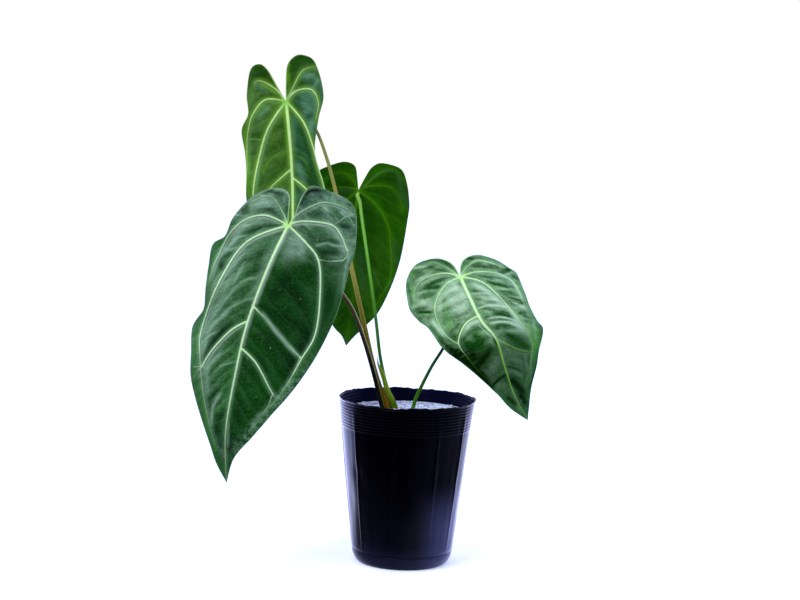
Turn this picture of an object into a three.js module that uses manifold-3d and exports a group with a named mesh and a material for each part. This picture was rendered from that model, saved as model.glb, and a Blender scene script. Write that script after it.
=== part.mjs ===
// Potted anthurium hybrid: four cordate leaves on long petioles, the crown with its roots,
// the growing medium and a thin black nursery pot. Millimetres, +Z up, the front of the plant
// faces -Y, and the origin is the centre of the pot's underside.

import * as THREE from "three";
import { mergeVertices } from "three/addons/utils/BufferGeometryUtils.js";
import Module from "manifold-3d";

const wasm = await Module();
wasm.setup();

// Driving dimensions.
const gap = 0.35; // between pieces that touch
const potHeight = 181.5;
const potRimRadius = 75.2;
const potWall = 1.5;
const potSegments = 36;
const potTurn = -57; // first facet edge, in degrees, so that each rib lies on the flat of a facet
const grooveZ = 14.8;
const wallFoot = { z: 15.6, r: 55.5 };
const wallSlope = 0.1103;
const bandBottom = 147.2; // the ridged band runs from here to the rim
const ridgePitch = 3.7;
const ridgeHeight = 0.45;
const floorThickness = 1.8;
const mediumTop = 168;
const ribCount = 9;
const ribAngle = -62;
const ribWidth = 3.6;
const ribHeight = 0.6;
const drainCount = 8;
const drainCircle = 31;
const drainRadius = 4.5;
const bladeThickness = 0.8;
const curlWidth = 9; // of the lobes' raised inner edges
const crownCentre = [-9.3, 1];
const crownTop = 146;
const crownFoot = 114;
const rootCount = 6;
const rootPath = [[5, 127, 0], [18, 117, 0.05], [30, 96, 0.15], [35, 66, 0.3], [33, 30, 0.5]];

const rad = THREE.MathUtils.degToRad;
const vec = (p) => new THREE.Vector3(...p);

function part(name, geometry, color, roughness, metalness = 0) {
  const material = new THREE.MeshStandardMaterial({ color, roughness, metalness });
  const mesh = new THREE.Mesh(geometry, material);
  mesh.name = name;
  return mesh;
}

function geometryOf(points, triangles) {
  const geometry = new THREE.BufferGeometry();
  const flat = points.flatMap((p) => [p.x, p.y, p.z]);
  geometry.setAttribute("position", new THREE.Float32BufferAttribute(flat, 3));
  geometry.setIndex(triangles.flat());
  return geometry;
}

function solid(geometry) {
  const bare = geometry.clone();
  bare.deleteAttribute("normal");
  bare.deleteAttribute("uv");
  const merged = mergeVertices(bare, 1e-4);
  const mesh = new wasm.Mesh({
    numProp: 3,
    vertProperties: new Float32Array(merged.attributes.position.array),
    triVerts: new Uint32Array(merged.index.array),
  });
  return new wasm.Manifold(mesh);
}

function fromSolid(made) {
  const mesh = made.getMesh();
  const geometry = new THREE.BufferGeometry();
  geometry.setAttribute("position", new THREE.BufferAttribute(new Float32Array(mesh.vertProperties), 3));
  geometry.setIndex(Array.from(mesh.triVerts));
  return geometry;
}

// Closed body of rings of points from bottom to top, or round a profile; each end runs to one point.
function ringBody(rings, bottom, top) {
  const count = rings[0].length;
  const points = [bottom, ...rings.flat(), top];
  const last = points.length - 1;
  const at = (ring, k) => 1 + ring * count + (k % count);
  const triangles = [];
  for (let k = 0; k < count; k++) {
    triangles.push([0, at(0, k + 1), at(0, k)]);
    triangles.push([last, at(rings.length - 1, k), at(rings.length - 1, k + 1)]);
  }
  for (let ring = 0; ring + 1 < rings.length; ring++) {
    for (let k = 0; k < count; k++) {
      triangles.push([at(ring, k), at(ring, k + 1), at(ring + 1, k + 1)]);
      triangles.push([at(ring, k), at(ring + 1, k + 1), at(ring + 1, k)]);
    }
  }
  return geometryOf(points, triangles);
}

const smooth = (path) => new THREE.CatmullRomCurve3(path.map(vec), false, "centripetal");

// Tapered tube along a smooth curve through the given points; the ends are flat.
function tube(path, radiusAt, steps, sides, extra = 0) {
  const curve = smooth(path);
  let side = new THREE.Vector3(1, 0, 0);
  const rings = [];
  const ends = [];
  for (let i = 0; i <= steps; i++) {
    const t = i / steps;
    const tangent = curve.getTangentAt(t);
    const centre = curve.getPointAt(t);
    if (i === 0) centre.addScaledVector(tangent, -extra);
    if (i === steps) centre.addScaledVector(tangent, extra);
    side = side.clone().addScaledVector(tangent, -side.dot(tangent)).normalize();
    const other = tangent.clone().cross(side);
    const radius = radiusAt(t) + extra;
    const ring = [];
    for (let k = 0; k < sides; k++) {
      const a = (2 * Math.PI * k) / sides;
      const rim = centre.clone().addScaledVector(side, radius * Math.cos(a));
      ring.push(rim.addScaledVector(other, radius * Math.sin(a)));
    }
    rings.push(ring);
    ends.push(centre);
  }
  return ringBody(rings, ends[0], ends[steps]);
}

// Sheet of even thickness on both sides of a triangulated surface, split alike on both faces.
function sheet(points, triangles, thickness) {
  const middle = geometryOf(points, triangles);
  middle.computeVertexNormals();
  const normals = middle.getAttribute("normal");
  const moved = (side) =>
    points.map((p, i) => {
      const n = new THREE.Vector3().fromBufferAttribute(normals, i);
      return p.clone().addScaledVector(n, (side * thickness) / 2);
    });
  const count = points.length;
  const faces = triangles.map((t) => [...t]);
  faces.push(...triangles.map(([a, b, c]) => [count + a, count + c, count + b]));
  const edges = triangles.flatMap(([a, b, c]) => [`${a},${b}`, `${b},${c}`, `${c},${a}`]);
  const directed = new Set(edges);
  for (const edge of directed) {
    const [a, b] = edge.split(",").map(Number);
    if (directed.has(`${b},${a}`)) continue;
    faces.push([b, a, count + a], [b, count + a, count + b]);
  }
  return geometryOf([...moved(1), ...moved(-1)], faces);
}

// Each blade is drawn flat, seen on its upper face: u runs across, to the right, and s runs from
// the junction with the petiole towards the tip. Outlines start at the top of each lobe. The
// blade's own frame stands at the junction and is turned by facing, tilt and spin, in degrees.
const leaves = {
  front: {
    junction: [-131.1, -75, 370.4],
    facing: -5,
    tilt: 13,
    spin: 9.6,
    halfWidth: 75,
    cup: -9,
    fold: -5,
    lobeDroop: -8,
    funnel: [5, 26],
    bend: [0.02, -0.05, 150, 40],
    waves: [
      [-1, 5, 88, 2.2],
      [1, 2.5, 110, 0.6],
    ],
    quilt: [1.7, 8],
    pucker: [0.5, 17, -0.25],
    curl: [2, 6],
    rows: [7, 24, 8],
    level: 0.26,
    midrib: [[0, 0], [-10, 53], [-17, 110], [-17, 161], [-13, 224], [0, 275]],
    sinusLeft: [[-25, -34], [-11, -35], [-4, -28], [-2, -14], [0, 0]],
    marginLeft: [
      [-25, -34], [-43, -23], [-59, 4], [-64, 24], [-76, 36], [-73, 62], [-69, 89], [-68, 105],
      [-76, 125], [-69, 153], [-63, 177], [-53, 198], [-41, 218], [-28, 238], [-15, 258], [0, 275],
    ],
    sinusRight: [[20, -45], [11, -37], [7, -23], [5, -13], [0, 0]],
    marginRight: [
      [20, -45], [54, -40], [67, -25], [74, 8], [73, 31], [72, 61], [69, 90], [63, 119],
      [55, 144], [43, 172], [30, 196], [16, 223], [2, 249], [0, 275],
    ],
    veins: [
      [[0, 0], [-10, -16], [-24, -26], [-40, -19], [-50, -4]],
      [[0, 0], [-25, -5], [-46, 4], [-60, 23], [-67, 51], [-68, 72]],
      [[0, 0], [-38, 26], [-55, 65], [-65, 124], [-58, 156], [-42, 200], [-21, 240]],
      [[0, 0], [11, -17], [27, -30], [48, -32], [63, -22]],
      [[0, 0], [14, -7], [43, -10], [56, -2], [66, 13]],
      [[0, 0], [30, 22], [49, 62], [54, 105], [46, 134], [35, 170], [17, 206]],
      [[-19, 109], [-31, 119], [-41, 133], [-49, 148], [-54, 164]],
      [[-15, 91], [0, 101], [16, 111], [30, 122], [45, 133]],
      [[-16, 137], [-1, 146], [10, 157], [24, 176], [24, 189]],
    ],
  },
  top: {
    junction: [-143.7, 18, 499.3],
    facing: 4,
    tilt: 7,
    spin: -3.2,
    halfWidth: 44,
    cup: -6,
    fold: -5,
    lobeDroop: -4,
    funnel: [4, 18],
    bend: [0, -0.08, 150, 40],
    waves: [
      [-1, 3, 75, 0.5],
      [1, 3, 85, 2.4],
    ],
    quilt: [1.3, 7],
    pucker: [0.3, 15, -0.25],
    curl: [2, 2],
    rows: [7, 21, 6],
    level: 0.22,
    midrib: [[0, 0], [4, 66], [4, 126], [0, 192], [0, 254]],
    sinusLeft: [[-27, -41], [-16, -32], [-8, -11], [0, 0]],
    marginLeft: [
      [-27, -41], [-39, -29], [-41, 15], [-48, 31], [-46, 55], [-45, 79], [-46, 104], [-42, 133],
      [-37, 157], [-30, 182], [-20, 206], [-9, 230], [0, 254],
    ],
    sinusRight: [[20, -50], [6, -42], [1, -15], [0, 0]],
    marginRight: [
      [20, -50], [37, -37], [41, -7], [35, 19], [30, 52], [34, 74], [42, 101], [45, 126],
      [41, 156], [35, 180], [24, 206], [12, 230], [0, 254],
    ],
    veins: [
      [[0, 0], [-12, -14], [-31, -23], [-38, -6]],
      [[0, 0], [-22, -2], [-36, 13], [-42, 31], [-44, 53], [-44, 74]],
      [[0, 0], [-20, 29], [-31, 62], [-38, 97], [-37, 130], [-29, 166], [-20, 200]],
      [[0, 0], [7, -13], [19, -33], [34, -38]],
      [[0, 0], [12, -11], [28, -12], [35, 2], [32, 19]],
      [[0, 0], [22, 27], [30, 62], [36, 97], [35, 131], [27, 167], [17, 200]],
      [[3, 75], [-9, 85], [-20, 95], [-29, 108], [-34, 123]],
      [[5, 84], [18, 95], [27, 107], [33, 124]],
    ],
  },
  back: {
    junction: [-63.5, 78, 403],
    facing: 172,
    tilt: 18,
    spin: -5.6,
    halfWidth: 55,
    cup: -8,
    fold: -3,
    lobeDroop: -6,
    funnel: [4, 20],
    bend: [0, -0.1, 100, 30],
    waves: [
      [-1, 2, 80, 0.5],
      [1, 2, 95, 2.4],
    ],
    quilt: [1.3, 7],
    pucker: [0.3, 15, -0.25],
    curl: [2, 2],
    rows: [6, 18, 7],
    level: 0.24,
    midrib: [[0, 0], [3, 57], [-3, 128], [-1, 192]],
    sinusLeft: [[-25, -35], [-13, -28], [-6, -15], [0, 0]],
    marginLeft: [
      [-25, -35], [-49, -32], [-59, 2], [-59, 30], [-57, 60], [-52, 87], [-42, 115], [-33, 144],
      [-18, 169], [-1, 192],
    ],
    sinusRight: [[23, -29], [8, -27], [3, -14], [0, 0]],
    marginRight: [
      [23, -29], [50, -14], [58, 14], [54, 50], [48, 80], [39, 109], [31, 140], [19, 167], [-1, 192],
    ],
    veins: [
      [[0, 0], [-12, -11], [-24, -24], [-39, -31], [-50, -22]],
      [[0, 0], [-12, -6], [-35, -9], [-47, 0], [-53, 17]],
      [[0, 0], [-23, 17], [-38, 39], [-44, 69], [-46, 98], [-37, 124], [-26, 150]],
      [[0, 0], [9, -12], [23, -18], [36, -12], [46, 1]],
      [[0, 0], [17, -1], [38, 6], [48, 20], [49, 41]],
      [[0, 0], [22, 26], [33, 57], [33, 91], [27, 124], [16, 157]],
    ],
  },
  right: {
    junction: [52, -35, 319.1],
    facing: 16,
    tilt: 24,
    spin: -20.3,
    halfWidth: 58,
    cup: -7,
    fold: -3,
    lobeDroop: -7,
    funnel: [4, 20],
    bend: [0.36, -0.42, 72, 9],
    waves: [
      [-1, 3, 60, 1.2],
      [1, 3, 66, 2.8],
    ],
    quilt: [2.2, 7],
    pucker: [1, 14, -0.3],
    curl: [2, 3],
    rows: [7, 26, 8],
    level: 0.3,
    midrib: [[0, 0], [-6, 28], [-9, 57], [-3, 81], [-3, 111], [-1, 141], [4, 167]],
    sinusLeft: [[-17, -31], [-6, -24], [0, -13], [0, 0]],
    marginLeft: [
      [-17, -31], [-36, -32], [-54, -15], [-67, 10], [-63, 29], [-60, 41], [-60, 68], [-45, 91],
      [-33, 110], [-21, 130], [-10, 151], [4, 167],
    ],
    sinusRight: [[30, -17], [15, -18], [6, -12], [0, 0]],
    marginRight: [
      [30, -17], [45, -7], [57, 8], [63, 18], [56, 40], [51, 59], [52, 76], [56, 87],
      [42, 106], [33, 121], [21, 136], [13, 149], [4, 167],
    ],
    veins: [
      [[0, 0], [-8, -15], [-21, -28], [-38, -28]],
      [[0, 0], [-13, -10], [-35, -13], [-51, -6], [-61, 10]],
      [[0, 0], [-19, 2], [-37, 14], [-47, 30], [-50, 56], [-44, 69]],
      [[0, 0], [14, -9], [30, -9], [44, 1], [52, 15]],
      [[0, 0], [18, 1], [40, 11], [51, 24], [50, 48], [47, 67]],
      [[0, 0], [19, 18], [30, 66], [37, 95], [27, 116], [9, 142]],
      [[-8, 50], [-26, 53], [-42, 69], [-38, 87], [-30, 106], [-20, 124]],
      [[-2, 81], [8, 90], [18, 98], [30, 104]],
    ],
  },
};

function bladeFrame(leaf) {
  const a = rad(leaf.facing);
  const e = rad(leaf.tilt);
  const out = new THREE.Vector3(Math.sin(a) * Math.cos(e), -Math.cos(a) * Math.cos(e), Math.sin(e));
  const up = new THREE.Vector3(-Math.sin(a) * Math.sin(e), Math.cos(a) * Math.sin(e), Math.cos(e));
  up.applyAxisAngle(out, -rad(leaf.spin));
  return { out, up, across: up.clone().cross(out) };
}

const curve2 = (points) => new THREE.SplineCurve(points.map(([u, s]) => new THREE.Vector2(u, s)));

function distanceTo(line, u, s) {
  let least = Infinity;
  for (let i = 0; i + 1 < line.length; i++) {
    const [a, b] = [line[i], line[i + 1]];
    const du = b.x - a.x;
    const ds = b.y - a.y;
    const t = THREE.MathUtils.clamp(((u - a.x) * du + (s - a.y) * ds) / (du * du + ds * ds), 0, 1);
    least = Math.min(least, Math.hypot(u - a.x - t * du, s - a.y - t * ds));
  }
  return least;
}

// Height of the blade's middle over its flat: fold along the midrib, drooping sides and lobes,
// a funnel at the junction, a bend on the way to the tip and a waved edge.
function bladeForm(leaf, u, s) {
  const x = u / leaf.halfWidth;
  const [before, after, at, soft] = leaf.bend;
  const [depth, radius] = leaf.funnel;
  const ramp = (v) => soft * Math.log1p(Math.exp((v - at) / soft));
  let h = leaf.cup * x * x + leaf.fold * (Math.sqrt(x * x + 0.01) - 0.1);
  h += before * s + (after - before) * (ramp(s) - ramp(0));
  h += leaf.lobeDroop * (Math.max(0, -s) / leaf.halfWidth) ** 2;
  h += depth * (1 - Math.exp(-(u * u + s * s) / (radius * radius)));
  for (const [side, height, length, phase] of leaf.waves) {
    if (u * side > 0) h += height * Math.abs(x) ** 3 * Math.sin((2 * Math.PI * s) / length + phase);
  }
  return h;
}

// Relief between the veins: the tissue stands up in quilted fields and puckers across them.
function bladeRelief(leaf, lines, u, s) {
  const [height, width] = leaf.quilt;
  const [pucker, length, slant] = leaf.pucker;
  const near = Math.min(...lines.map((line) => distanceTo(line, u, s)));
  const field = 1 - Math.exp(-((near / width) ** 2));
  return field * (height + pucker * Math.sin((2 * Math.PI * (s + slant * Math.abs(u))) / length));
}

// The inner edge of each lobe curls up beside the sinus.
function lobeCurl(leaf, lines, u, s) {
  const side = u < 0 ? 0 : 1;
  const near = distanceTo(lines.sinus[side], u, s) / curlWidth;
  return leaf.curl[side] * Math.exp(-near * near) * THREE.MathUtils.smoothstep(-s, 4, 26);
}

function bladePoint(leaf, frame, lines, u, s) {
  const relief = bladeRelief(leaf, lines.veins, u, s) + lobeCurl(leaf, lines, u, s);
  const h = bladeForm(leaf, u, s) + relief;
  return vec(leaf.junction)
    .addScaledVector(frame.across, u)
    .addScaledVector(frame.up, -s)
    .addScaledVector(frame.out, h);
}

function linesOf(leaf) {
  const dense = (v) => curve2(v).getPoints(5 * (v.length - 1));
  return {
    veins: [leaf.midrib, ...leaf.veins].map(dense),
    sinus: [leaf.sinusLeft, leaf.sinusRight].map(dense),
  };
}

// Rows run from the sinus edge or the midrib out to the margin.
function bladeGeometry(leaf) {
  const frame = bladeFrame(leaf);
  const lines = linesOf(leaf);
  const [lobeRows, bladeRows, columns] = leaf.rows;
  const midrib = curve2(leaf.midrib);
  const points = [];
  const triangles = [];
  const add = (u, s) => points.push(bladePoint(leaf, frame, lines, u, s)) - 1;
  const spread = (t) => 1 - (1 - t) ** 0.8;
  const spine = [];
  for (let k = 0; k <= bladeRows; k++) {
    const p = midrib.getPointAt(spread(k / bladeRows));
    spine.push({ p, id: add(p.x, p.y) });
  }
  for (const [side, sinusPoints, marginPoints] of [
    [-1, leaf.sinusLeft, leaf.marginLeft],
    [1, leaf.sinusRight, leaf.marginRight],
  ]) {
    const sinus = curve2(sinusPoints);
    const margin = curve2(marginPoints);
    const lobeTop = sinus.getPoint(0);
    const rows = [Array(columns + 1).fill(add(lobeTop.x, lobeTop.y))];
    for (let k = 1; k <= lobeRows + bladeRows; k++) {
      const inLobe = k < lobeRows;
      const t = inLobe ? k / lobeRows : spread((k - lobeRows) / bladeRows);
      const inner = inLobe ? sinus.getPointAt(t) : spine[k - lobeRows].p;
      const outer = margin.getPointAt(inLobe ? t * leaf.level : leaf.level + (1 - leaf.level) * t);
      const row = [inLobe ? add(inner.x, inner.y) : spine[k - lobeRows].id];
      const last = k === lobeRows + bladeRows;
      for (let j = 1; j <= columns; j++) {
        const p = inner.clone().lerp(outer, j / columns);
        row.push(last ? row[0] : add(p.x, p.y));
      }
      rows.push(row);
    }
    for (let k = 0; k + 1 < rows.length; k++) {
      for (let j = 0; j < columns; j++) {
        const [a, b, c, d] = [rows[k][j], rows[k][j + 1], rows[k + 1][j + 1], rows[k + 1][j]];
        const halves = [[a, d, c], [a, c, b]].filter((t) => new Set(t).size === 3);
        triangles.push(...halves.map(([p, q, r]) => (side > 0 ? [p, q, r] : [p, r, q])));
      }
    }
  }
  return sheet(points, triangles, bladeThickness);
}

// Where the petiole meets the underside of the blade, just below the sinus.
function bladeSeat(leaf) {
  const frame = bladeFrame(leaf);
  const lines = linesOf(leaf);
  const s0 = 4;
  const at = (u, s) => bladePoint(leaf, frame, lines, u, s);
  const across = at(2, s0).sub(at(-2, s0));
  const along = at(0, s0 - 2).sub(at(0, s0 + 2));
  return { point: at(0, s0), out: across.cross(along).normalize() };
}

// Each path runs from the crown through the medium and the open air to just short of the blade.
const petioles = {
  front: {
    path: [
      [-14.8, -1.5, 146.4], [-15.4, -1.6, 151], [-26, -1.5, 168], [-30, -4, 182], [-37, -11, 209],
      [-49, -23, 249], [-62, -33, 280], [-72, -38, 295], [-92, -48, 324], [-115, -57, 351],
    ],
    foot: 2.4,
    neck: 1.8,
    color: 0x2b2f1c,
  },
  top: {
    path: [
      [-10.6, 3.7, 146.4], [-10.9, 3.7, 151], [-21.3, 4, 168], [-26, 5, 183], [-37, 8, 217],
      [-51, 12, 264], [-66, 16, 322], [-85, 22, 399], [-98, 26, 442], [-110, 28, 470], [-127, 31, 488],
    ],
    foot: 2.4,
    neck: 1.5,
    color: 0x8a7a3c,
  },
  back: {
    path: [
      [-4.6, 4.6, 146.4], [-4.9, 4.7, 151], [-14.2, 7.5, 168], [-19.5, 9.4, 182], [-24, 12, 196],
      [-31, 18, 222], [-37, 29, 264], [-49, 50, 332], [-58, 65, 375], [-61, 71, 390],
    ],
    foot: 1.6,
    neck: 1.5,
    color: 0x6f9a3e,
  },
  right: {
    path: [
      [-6.3, -3.6, 146.4], [-6, -3.4, 151], [5.8, 4, 168], [10, 2, 182], [25, -6, 217],
      [37, -11, 239], [46, -16, 262], [52, -21, 284], [54, -24, 300],
    ],
    foot: 2.2,
    neck: 1.2,
    color: 0x3f7426,
  },
};

const petioleSteps = 20;
const petioleSides = 8;

// Thickest at the foot, slim on the way and a little thicker where it turns into the blade.
function petioleRadius(petiole) {
  const { foot, neck } = petiole;
  const swelling = (t) => 0.35 * Math.exp(-(((t - 0.96) / 0.05) ** 2));
  return (t) => neck + (foot - neck) * (1 - t) ** 1.5 + swelling(t);
}

function petiolePath(name) {
  const seat = bladeSeat(leaves[name]);
  const end = seat.point.clone().addScaledVector(seat.out, -(bladeThickness / 2 + gap + 0.1));
  const lead = end.clone().addScaledVector(seat.out, -6);
  return [...petioles[name].path, lead.toArray(), end.toArray()];
}

function petioleGeometry(name, extra = 0) {
  return tube(petiolePath(name), petioleRadius(petioles[name]), petioleSteps, petioleSides, extra);
}

// Pointed sheath that wraps the foot of the back leaf's petiole on its left, open behind.
const cataphyll = {
  // height on the petiole, radius round it, half the angle that it wraps
  stations: [
    [152, 2.5, 118], [160, 3.1, 122], [168, 3.7, 120], [178, 3.1, 114], [190, 2.5, 104],
    [198, 2.7, 78], [206, 3.3, 50], [214, 3.9, 26], [222, 3.7, 9],
  ],
  opening: 205,
  thickness: 0.8,
  columns: 8,
};

// Centre of a petiole at a height above the crown.
function petioleCentre(name, z) {
  const curve = smooth(petiolePath(name));
  const centres = curve.getSpacedPoints(petioleSteps);
  const i = centres.findIndex((p) => p.z > z) - 1;
  const [a, b] = [centres[i], centres[i + 1]];
  return a.clone().lerp(b, (z - a.z) / (b.z - a.z)).toArray();
}

function cataphyllGeometry() {
  const rows = cataphyll.stations.map(([z, radius, half]) => {
    const [x, y] = petioleCentre("back", z);
    const row = [];
    for (let j = 0; j <= cataphyll.columns; j++) {
      const a = rad(cataphyll.opening + half * ((2 * j) / cataphyll.columns - 1));
      row.push(new THREE.Vector3(x + radius * Math.cos(a), y + radius * Math.sin(a), z));
    }
    return row;
  });
  const wide = cataphyll.columns + 1;
  const triangles = [];
  for (let k = 0; k + 1 < rows.length; k++) {
    for (let j = 0; j + 1 < wide; j++) {
      const a = k * wide + j;
      triangles.push([a, a + 1, a + wide + 1], [a, a + wide + 1, a + wide]);
    }
  }
  return sheet(rows.flat(), triangles, cataphyll.thickness);
}

// Round hole in the medium that the sheath and its petiole stand in.
function cataphyllHole() {
  const rings = cataphyll.stations.slice(0, 4).map(([z, radius], i) => {
    const [x, y] = petioleCentre("back", z);
    const r = radius + cataphyll.thickness / 2 + gap;
    const dz = i === 0 ? -gap : 0;
    return circle(x, y, z + dz, r / Math.cos(Math.PI / 12), 12, 0);
  });
  const bottom = petioleCentre("back", cataphyll.stations[0][0]);
  const top = petioleCentre("back", cataphyll.stations[3][0]);
  bottom[2] -= gap;
  return ringBody(rings, vec(bottom), vec(top));
}

function circle(x, y, z, radius, count, turn) {
  const ring = [];
  for (let k = 0; k < count; k++) {
    const a = rad(turn) + (2 * Math.PI * k) / count;
    ring.push(new THREE.Vector3(x + radius * Math.cos(a), y + radius * Math.sin(a), z));
  }
  return ring;
}

// Short stem with its main roots, each along points of radius, height and twist round it.
function crownSolid(extra = 0) {
  const [x, y] = crownCentre;
  const profile = [
    [crownFoot - extra, 4], [119, 7.4], [126, 8.6], [132, 9.3], [139, 9], [crownTop + extra, 8.8],
  ];
  const rings = profile.map(([z, r]) => circle(x, y, z, r + extra, 12, 0));
  const bottom = new THREE.Vector3(x, y, crownFoot - extra);
  const top = new THREE.Vector3(x, y, crownTop + extra);
  let made = solid(ringBody(rings, bottom, top));
  for (let k = 0; k < rootCount; k++) {
    const a = (2 * Math.PI * k) / rootCount + 0.4;
    const path = rootPath.map(([r, z, twist]) => {
      const out = [r * Math.cos(a + twist), r * Math.sin(a + twist)];
      return [x * (1 - r / 60) + out[0], y + out[1], z];
    });
    made = made.add(solid(tube(path, (t) => 1.9 - 0.9 * t, 5, 5, extra)));
  }
  return made;
}

const wallRadius = (z) => wallFoot.r + wallSlope * (z - wallFoot.z);

// Outside of the pot from the underside up to the rim, as [height, radius].
function potOutside() {
  const outline = [
    [0, 46.5], [0.8, 48.8], [4, 51.8], [9, 54.3], [13.2, 55.2],
    [grooveZ - 0.4, 54.6], [grooveZ + 0.5, 54.7],
    [wallFoot.z + 0.4, wallRadius(wallFoot.z)],
    [bandBottom - 0.8, wallRadius(bandBottom - 0.8)],
  ];
  for (let z = bandBottom; z < potHeight - 3; z += ridgePitch) {
    outline.push([z + 0.25 * ridgePitch, wallRadius(z) + 0.35 + ridgeHeight]);
    outline.push([z + 0.8 * ridgePitch, wallRadius(z) + 0.35 - ridgeHeight]);
  }
  outline.push([potHeight, potRimRadius]);
  return outline;
}

// Inside of the pot from the rim down to the floor; the ridges show only above the medium.
function potInside() {
  const outline = [[potHeight, potRimRadius - potWall + 0.5]];
  for (let z = potHeight - 5; z > mediumTop - 5; z -= ridgePitch) {
    outline.push([z + 0.5 * ridgePitch, wallRadius(z) - potWall - 0.2]);
    outline.push([z, wallRadius(z) - potWall + 0.2]);
  }
  outline.push([mediumTop - 8, wallRadius(mediumTop - 8) - potWall - 0.3]);
  outline.push([20, wallRadius(20) - potWall], [9.5, 52.1], [5, 49.8], [2.6, 46.8], [floorThickness, 44]);
  return outline;
}

// The trimmed rim is uneven: it waves up and down and in and out all round.
function potRing(z, r) {
  return circle(0, 0, z, r, potSegments, potTurn).map((p) => {
    const a = Math.atan2(p.y, p.x);
    const lift = THREE.MathUtils.smoothstep(z, potHeight - 6, potHeight);
    const wave = Math.sin(3 * a + 0.6) + 0.6 * Math.sin(7 * a + 2) + 0.5 * Math.sin(12 * a);
    const out = 0.45 * Math.sin(5 * a + 1) + 0.25 * Math.sin(11 * a);
    const scale = 1 + (lift * out) / r;
    return new THREE.Vector3(p.x * scale, p.y * scale, z + 0.5 * lift * wave);
  });
}

function potGeometry() {
  const outline = [...potOutside(), ...potInside()];
  const rings = outline.map(([z, r]) => potRing(z, r));
  const underside = new THREE.Vector3(0, 0, 0);
  const floor = new THREE.Vector3(0, 0, floorThickness);
  let made = solid(ringBody(rings, underside, floor));
  for (let k = 0; k < ribCount; k++) {
    made = made.add(solid(ribGeometry(ribAngle + (360 * k) / ribCount)));
  }
  for (let k = 0; k < drainCount; k++) {
    const a = (2 * Math.PI * (k + 0.5)) / drainCount;
    const hole = new THREE.CylinderGeometry(drainRadius, drainRadius, 8, 10);
    hole.rotateX(Math.PI / 2);
    hole.translate(drainCircle * Math.cos(a), drainCircle * Math.sin(a), 0);
    made = made.subtract(solid(hole));
  }
  return fromSolid(made);
}

// Low upright rib on the wall between the groove and the ridged band.
function ribGeometry(angle) {
  const a = rad(angle);
  const across = new THREE.Vector3(-Math.sin(a), Math.cos(a), 0);
  const out = new THREE.Vector3(Math.cos(a), Math.sin(a), 0);
  const corner = (z, side, lift) => {
    const flat = wallRadius(z) * Math.cos(Math.PI / potSegments);
    return out.clone().multiplyScalar(flat + lift).addScaledVector(across, side).setZ(z);
  };
  const rings = [wallFoot.z + 1.5, bandBottom - 1].map((z) => [
    corner(z, -ribWidth / 2, -0.6),
    corner(z, -ribWidth / 2 + 0.5, ribHeight),
    corner(z, ribWidth / 2 - 0.5, ribHeight),
    corner(z, ribWidth / 2, -0.6),
  ]);
  const quad = (a, b, c, d) => [[a, b, c], [a, c, d]];
  const sides = [0, 1, 2, 3].flatMap((k) => quad(k, (k + 1) % 4, 4 + ((k + 1) % 4), 4 + k));
  return geometryOf(rings.flat(), [...quad(3, 2, 1, 0), ...quad(4, 5, 6, 7), ...sides]);
}

// Coarse pale granules on the medium's top, as a bumpy relief.
function mediumRelief(x, y) {
  const coarse = 0.9 * Math.sin(0.41 * x + 1.3) * Math.cos(0.37 * y);
  const fine = 0.6 * Math.sin(0.83 * y + 0.29 * x) + 0.4 * Math.cos(0.97 * x - 0.6 * y);
  return coarse + fine;
}

function mediumGeometry() {
  const inside = (z) => wallRadius(z) - potWall - gap;
  const side = [
    [floorThickness + gap, 43.6], [3.1, 46.2], [5.5, 49.2], [10, 51.7], [20.5, inside(20.5) - 0.1],
    [mediumTop - 8.5, inside(mediumTop - 8.5) - 0.4], [mediumTop - 1, inside(mediumTop - 8) - 0.4],
  ];
  const rings = side.map(([z, r]) => circle(0, 0, z, r, potSegments, potTurn));
  for (const r of [62, 52, 42, 32, 22, 11]) {
    const ring = circle(0, 0, mediumTop, r, potSegments, potTurn);
    for (const p of ring) p.z += mediumRelief(p.x, p.y) - 0.6 + 0.8 * (1 - r / 62);
    rings.push(ring);
  }
  const bottom = new THREE.Vector3(0, 0, floorThickness + gap);
  let made = solid(ringBody(rings, bottom, new THREE.Vector3(0, 0, mediumTop + 0.6)));
  for (const name of Object.keys(petioles)) {
    made = made.subtract(solid(petioleGeometry(name, gap)));
  }
  made = made.subtract(solid(cataphyllHole()));
  made = made.subtract(crownSolid(gap));
  return fromSolid(made);
}

const plant = new THREE.Group();
plant.name = "potted_anthurium_hybrid";
plant.add(part("pot", potGeometry(), 0x0b0b12, 0.3));
plant.add(part("growing_medium", mediumGeometry(), 0xb9c2cc, 0.9));
plant.add(part("crown_and_roots", fromSolid(crownSolid()), 0x8c7a55, 0.8));
plant.add(part("cataphyll", cataphyllGeometry(), 0x8aa52c, 0.5));
const bladeColors = { front: 0x2a5a34, top: 0x4f7d3e, back: 0x2f6b14, right: 0x5f9a5a };
for (const name of Object.keys(leaves)) {
  plant.add(part(`petiole_${name}`, petioleGeometry(name), petioles[name].color, 0.5));
  plant.add(part(`blade_${name}`, bladeGeometry(leaves[name]), bladeColors[name], 0.5));
}

export default plant;
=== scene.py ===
import math

import bpy
import numpy as np
from mathutils import Matrix, Vector


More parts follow.
